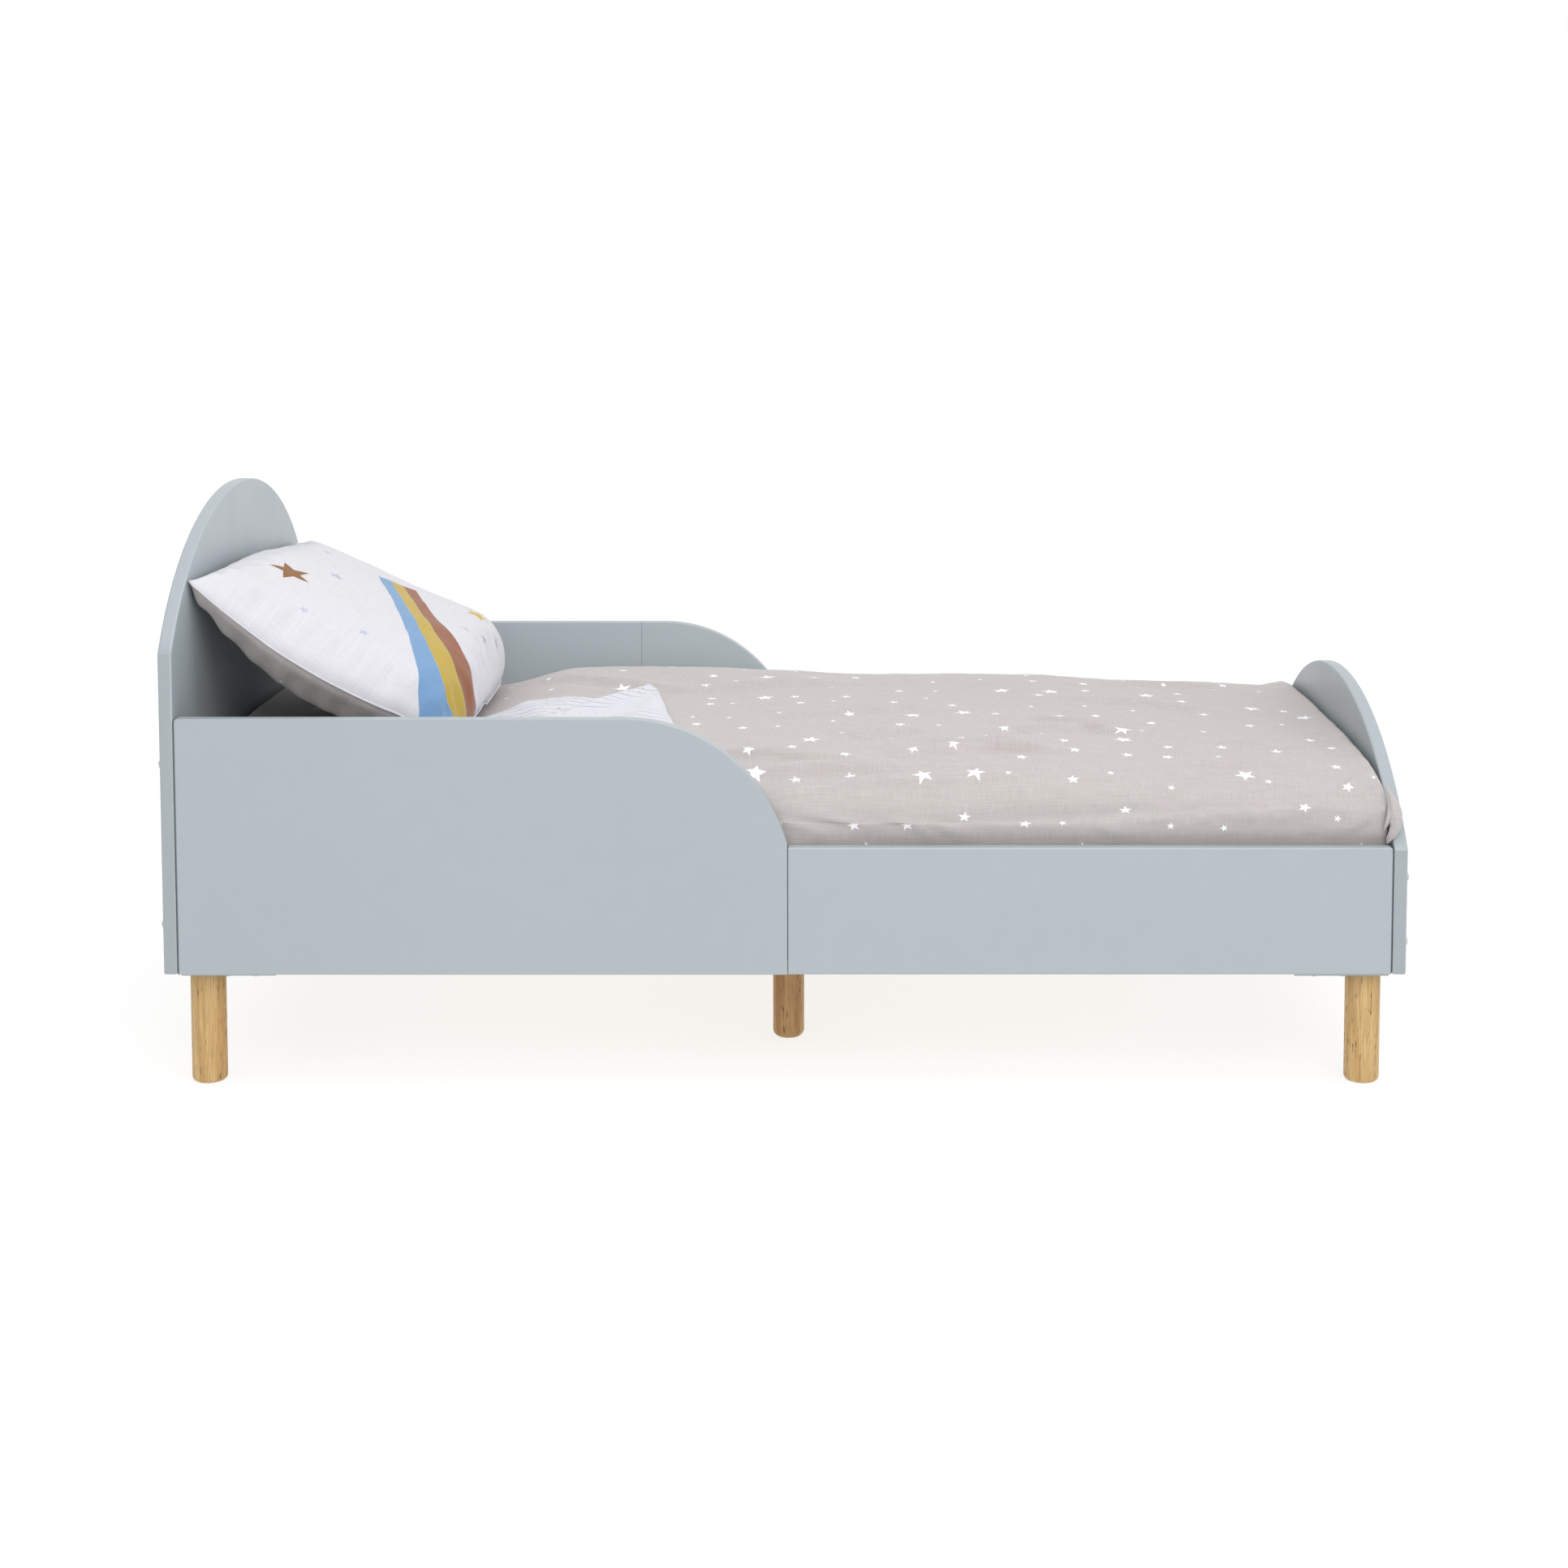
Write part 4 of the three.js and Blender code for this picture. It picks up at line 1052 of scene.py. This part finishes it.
def make_corner_bunch():
    """The cloth gathered at the near foot corner, which stands over the footboard's low shoulder."""
    a = tube([(0.6975, -0.3480, 0.3560), (0.7010, -0.3560, 0.3470), (0.7045, -0.3620, 0.3370), (0.7068, -0.3645, 0.3250),
              (0.7066, -0.3650, 0.3140), (0.7035, -0.3635, 0.3040), (0.7000, -0.3590, 0.2950), (0.6985, -0.3560, 0.2890)],
             [(0.0012, 0.0012), (0.0034, 0.0040), (0.0060, 0.0062), (0.0074, 0.0070), (0.0070, 0.0066), (0.0054, 0.0052),
              (0.0034, 0.0036), (0.0014, 0.0014)], "duvet_corner_bunch", LINEN_PLAIN, crinkle=0.09)
    b = tube([(0.6985, -0.3540, 0.3460), (0.7000, -0.3605, 0.3370), (0.6995, -0.3640, 0.3260), (0.6965, -0.3640, 0.3160),
              (0.6940, -0.3600, 0.3060)],
             [(0.0010, 0.0010), (0.0026, 0.0030), (0.0032, 0.0036), (0.0026, 0.0028), (0.0010, 0.0010)],
             "duvet_corner_bunch_inner", LINEN_PLAIN, uv_at=(6.0, 5.5), crinkle=0.10)
    for o in (a, b):
        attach(o, "duvet")


# ------------------------------------------------------------------ pillow
def make_pillow(duvet_grid):
    W, H = 0.600, 0.400
    nu, nv = 101, 69
    # points closer together towards the seam
    def spread(n):
        t = np.linspace(-1, 1, n)
        return np.sin(t * math.pi / 2) * 0.45 + t * 0.55
    UU, VV = np.meshgrid(spread(nu), spread(nv), indexing="ij")
    # plumper low down, where the filling has settled
    side = np.clip(1 - np.abs(UU) ** 2.6, 0, 1)
    p_front = np.where(VV < 0, 5.0, 2.2)
    front_z = 0.064 * (side * np.clip(1 - np.abs(VV) ** p_front, 0, 1)) ** 0.5 * (1 - 0.10 * VV)
    back_z = -0.053 * (side * np.clip(1 - np.abs(VV) ** 2.4, 0, 1)) ** 0.52 * (1 - 0.10 * VV)
    # it sags between the headboard and the duvet, its foot turned under
    sag = -0.027 * (1 - VV ** 2) - 0.020 * smoothstep(-0.55, -1.0, VV)
    front_z = front_z + sag
    back_z = back_z + sag
    # sides pulled in between the corners
    PX = UU * W / 2 * (1 - 0.030 * (1 - VV ** 2))
    PY = VV * H / 2 * (1 - np.where(VV > 0, 0.050, -0.030 * -VV) * (1 - UU ** 2))
    blunt = smoothstep(0.45, 1.0, -VV) * smoothstep(0.45, 1.0, np.abs(UU))
    PX = PX * (1 - 0.055 * blunt)
    PY = PY * (1 - 0.075 * blunt)
    # puckers along the seam, dying out towards the middle
    rim = 1 - np.maximum(np.abs(UU), np.abs(VV))
    along = np.where(np.abs(UU) > np.abs(VV), VV * H / 2, UU * W / 2)
    pucker = 0.0030 * np.sin(along * 2 * math.pi / 0.041 + 1.3 * np.sin(along * 23)) * np.exp(-((rim - 0.10) / 0.085) ** 2)
    crumple = fbm(PX, PY, 11.0, 31, 3)
    front = np.stack([PX, PY, front_z + (pucker + 0.0030 * crumple) * np.minimum(1, rim / 0.06)], 2).reshape(-1, 3)
    backg = np.stack([PX, PY, back_z - (pucker - 0.0025 * crumple) * np.minimum(1, rim / 0.06)], 2).reshape(-1, 3)
    inner = (rim.ravel() > 1e-9)
    n = nu * nv
    back_id = np.arange(n)
    back_id[inner] = n + np.arange(inner.sum())
    verts = np.concatenate([front, backg[inner]])
    f1 = grid_faces(nu, nv)
    f2 = back_id[grid_faces(nu, nv)][:, ::-1]
    flat = np.stack([UU.ravel() * W / 2, VV.ravel() * H / 2], 1)
    uv = np.concatenate([flat, flat[inner]])
    me = mesh_from("pillow_piece", verts, np.concatenate([f1, f2]), uv)
    o = link(me, "pillow_piece")
    got = verts.copy()
    sim = settle(o, 20, pressure=3.0, gravity=0.0, quality=6, tension=14, bending=0.2, shrink=-0.012, mass=0.25)
    sim = sim - sim.mean(0) + verts.mean(0)
    move = sim - verts
    far = np.linalg.norm(move, axis=1)
    print("pillow moved up to", far.max())
    cap = 0.009
    move *= (cap * np.tanh(far / cap) / np.maximum(far, 1e-9))[:, None]
    got = verts + move
    a, b, c = got[:, 0], got[:, 1], got[:, 2]
    # the slope it leans at, its foot bent to lie on the duvet
    low = np.array([-0.3900, 0.4060])
    high = np.array([-0.6975, 0.5860])
    along = (high - low) / np.linalg.norm(high - low)
    normal = np.array([along[1], -along[0]])
    mid = (low + high) / 2
    scale = np.linalg.norm(high - low) / (b.max() - b.min()) * 1.035
    b = b * scale
    place = np.zeros_like(got)
    place[:, 0] = mid[0] + along[0] * b + normal[0] * c
    place[:, 1] = a * 0.992
    place[:, 2] = mid[1] + along[1] * b + normal[1] * c
    # its far upper corner has slipped down a little
    slip = smoothstep(-0.10, 0.29, a) * smoothstep(-0.12, 0.19, b)
    place[:, 2] -= 0.026 * slip
    place[:, 0] += 0.006 * slip
    # pressed against the headboard
    lim = IN_HEAD + 0.0012
    x = place[:, 0]
    place[:, 0] = np.where(x < lim + 0.006, lim + 0.006 * np.exp((x - lim - 0.006) / 0.006), x)
    # and resting on the duvet
    flap_like = 0.020 * smoothstep(-0.45, -0.40, place[:, 0]) * smoothstep(0.04, -0.02, place[:, 1])
    floor_z = surface_at(duvet_grid, place[:, 0], np.clip(place[:, 1], -0.34, 0.34)) + 0.0015 + flap_like
    z = place[:, 2]
    place[:, 2] = np.where(z < floor_z + 0.006, floor_z + 0.006 * np.exp((z - floor_z - 0.006) / 0.006), z)
    me.vertices.foreach_set("co", place.ravel())
    me.update()
    me.materials.append(PRINTED)
    me.materials.append(LINEN_B)
    idx = np.zeros(len(me.polygons), np.int32)
    idx[len(f1):] = 1
    me.polygons.foreach_set("material_index", idx)
    sub = o.modifiers.new("fine", "SUBSURF")
    sub.levels = sub.render_levels = 1
    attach(o, "pillow")
    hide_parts("pillow")
    ring = [i * nv for i in range(nu)] + [(nu - 1) * nv + j for j in range(1, nv)] + \
           [i * nv + nv - 1 for i in range(nu - 2, -1, -1)] + [j for j in range(nv - 2, 0, -1)]
    return o, place[ring]


def make_welt(points, name, radius, material):
    """A thin stitched edge that follows the seam where the two faces meet."""
    pts = np.asarray(points)
    n = len(pts)
    m = 8
    verts, faces = [], []
    for k in range(n):
        d = pts[(k + 1) % n] - pts[k - 1]
        d = d / np.linalg.norm(d)
        side = np.cross(d, [0.5, 0.07, 0.85])
        side /= np.linalg.norm(side)
        up = np.cross(side, d)
        for q in range(m):
            a = 2 * math.pi * q / m
            verts.append(pts[k] + radius * (math.cos(a) * side + math.sin(a) * up))
    for k in range(n):
        for q in range(m):
            a, b = k * m + q, k * m + (q + 1) % m
            c, d = ((k + 1) % n) * m + (q + 1) % m, ((k + 1) % n) * m + q
            faces.append((a, d, c, b))
    uv = np.stack([np.repeat(np.arange(n) * 0.0067, m), np.tile(np.arange(m) * 0.001, n)], 1) + [3.0, 3.0]
    me = mesh_from(name, verts, faces, uv)
    bm = bmesh.new()
    bm.from_mesh(me)
    bmesh.ops.recalc_face_normals(bm, faces=bm.faces)
    bm.to_mesh(me)
    bm.free()
    me.materials.append(material)
    o = link(me, name)
    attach(o, "pillow")
    return o


make_mattress()
duvet, duvet_grid, _ = make_duvet()
make_flap(duvet_grid)
make_corner_bunch()
pillow, seam = make_pillow(duvet_grid)
make_welt(seam, "pillow_seam_welt", 0.0014, PRINTED)

# ------------------------------------------------------------------ stage and light
fm = Tree("studio_floor")
fm_tone = fm.range(fm.noise(fm.object(), 1.5, 2), 0.3, 0.7, 0.985, 0.995)
fm.set(Base_Color=fm.mix(fm_tone, (0.0, 0.0, 0.0), (0.26, 0.26, 0.26)), Roughness=0.75, Specular_IOR_Level=0.0)
fm.bsdf.inputs["Emission Color"].default_value = (1, 1, 1, 1)
fm.bsdf.inputs["Emission Strength"].default_value = 0.78
floor_me = mesh_from("studio_floor", [(-14, -14, 0), (14, -14, 0), (14, 22, 0), (-14, 22, 0)], [(0, 1, 2, 3)], smooth=False)
floor_me.materials.append(fm.mat)
floor = link(floor_me, "studio_floor")

world = bpy.data.worlds.new("studio")
scene.world = world
world.use_nodes = True
bg = world.node_tree.nodes["Background"]
bg.inputs[0].default_value = (1, 1, 1, 1)
# paler on the right of the bed than on its left, and even in between
w = world.node_tree
coord = w.nodes.new("ShaderNodeTexCoord")
sep = w.nodes.new("ShaderNodeSeparateXYZ")
ramp = w.nodes.new("ShaderNodeMapRange")
ramp.interpolation_type = "SMOOTHSTEP"
ramp.inputs["From Min"].default_value = -0.95
ramp.inputs["From Max"].default_value = -0.38
ramp.inputs["To Min"].default_value = 0.52
ramp.inputs["To Max"].default_value = 1.0
w.links.new(coord.outputs["Generated"], sep.inputs[0])
w.links.new(sep.outputs[0], ramp.inputs["Value"])
w.links.new(ramp.outputs[0], bg.inputs[1])


def area(name, loc, target, size, power, color=(1, 1, 1)):
    d = bpy.data.lights.new(name, "AREA")
    d.shape = "RECTANGLE"
    d.size, d.size_y = size
    d.energy = power
    d.color = color
    o = bpy.data.objects.new(name, d)
    scene.collection.objects.link(o)
    o.location = loc
    o.rotation_euler = (Vector(target) - Vector(loc)).to_track_quat("-Z", "Y").to_euler()
    return o


area("key_front", (0.6, -2.7, 2.1), (0, 0, 0.35), (2.4, 1.6), 30)
area("over_bed", (0.1, -0.7, 2.2), (0, 0.1, 0.35), (1.6, 0.9), 9)
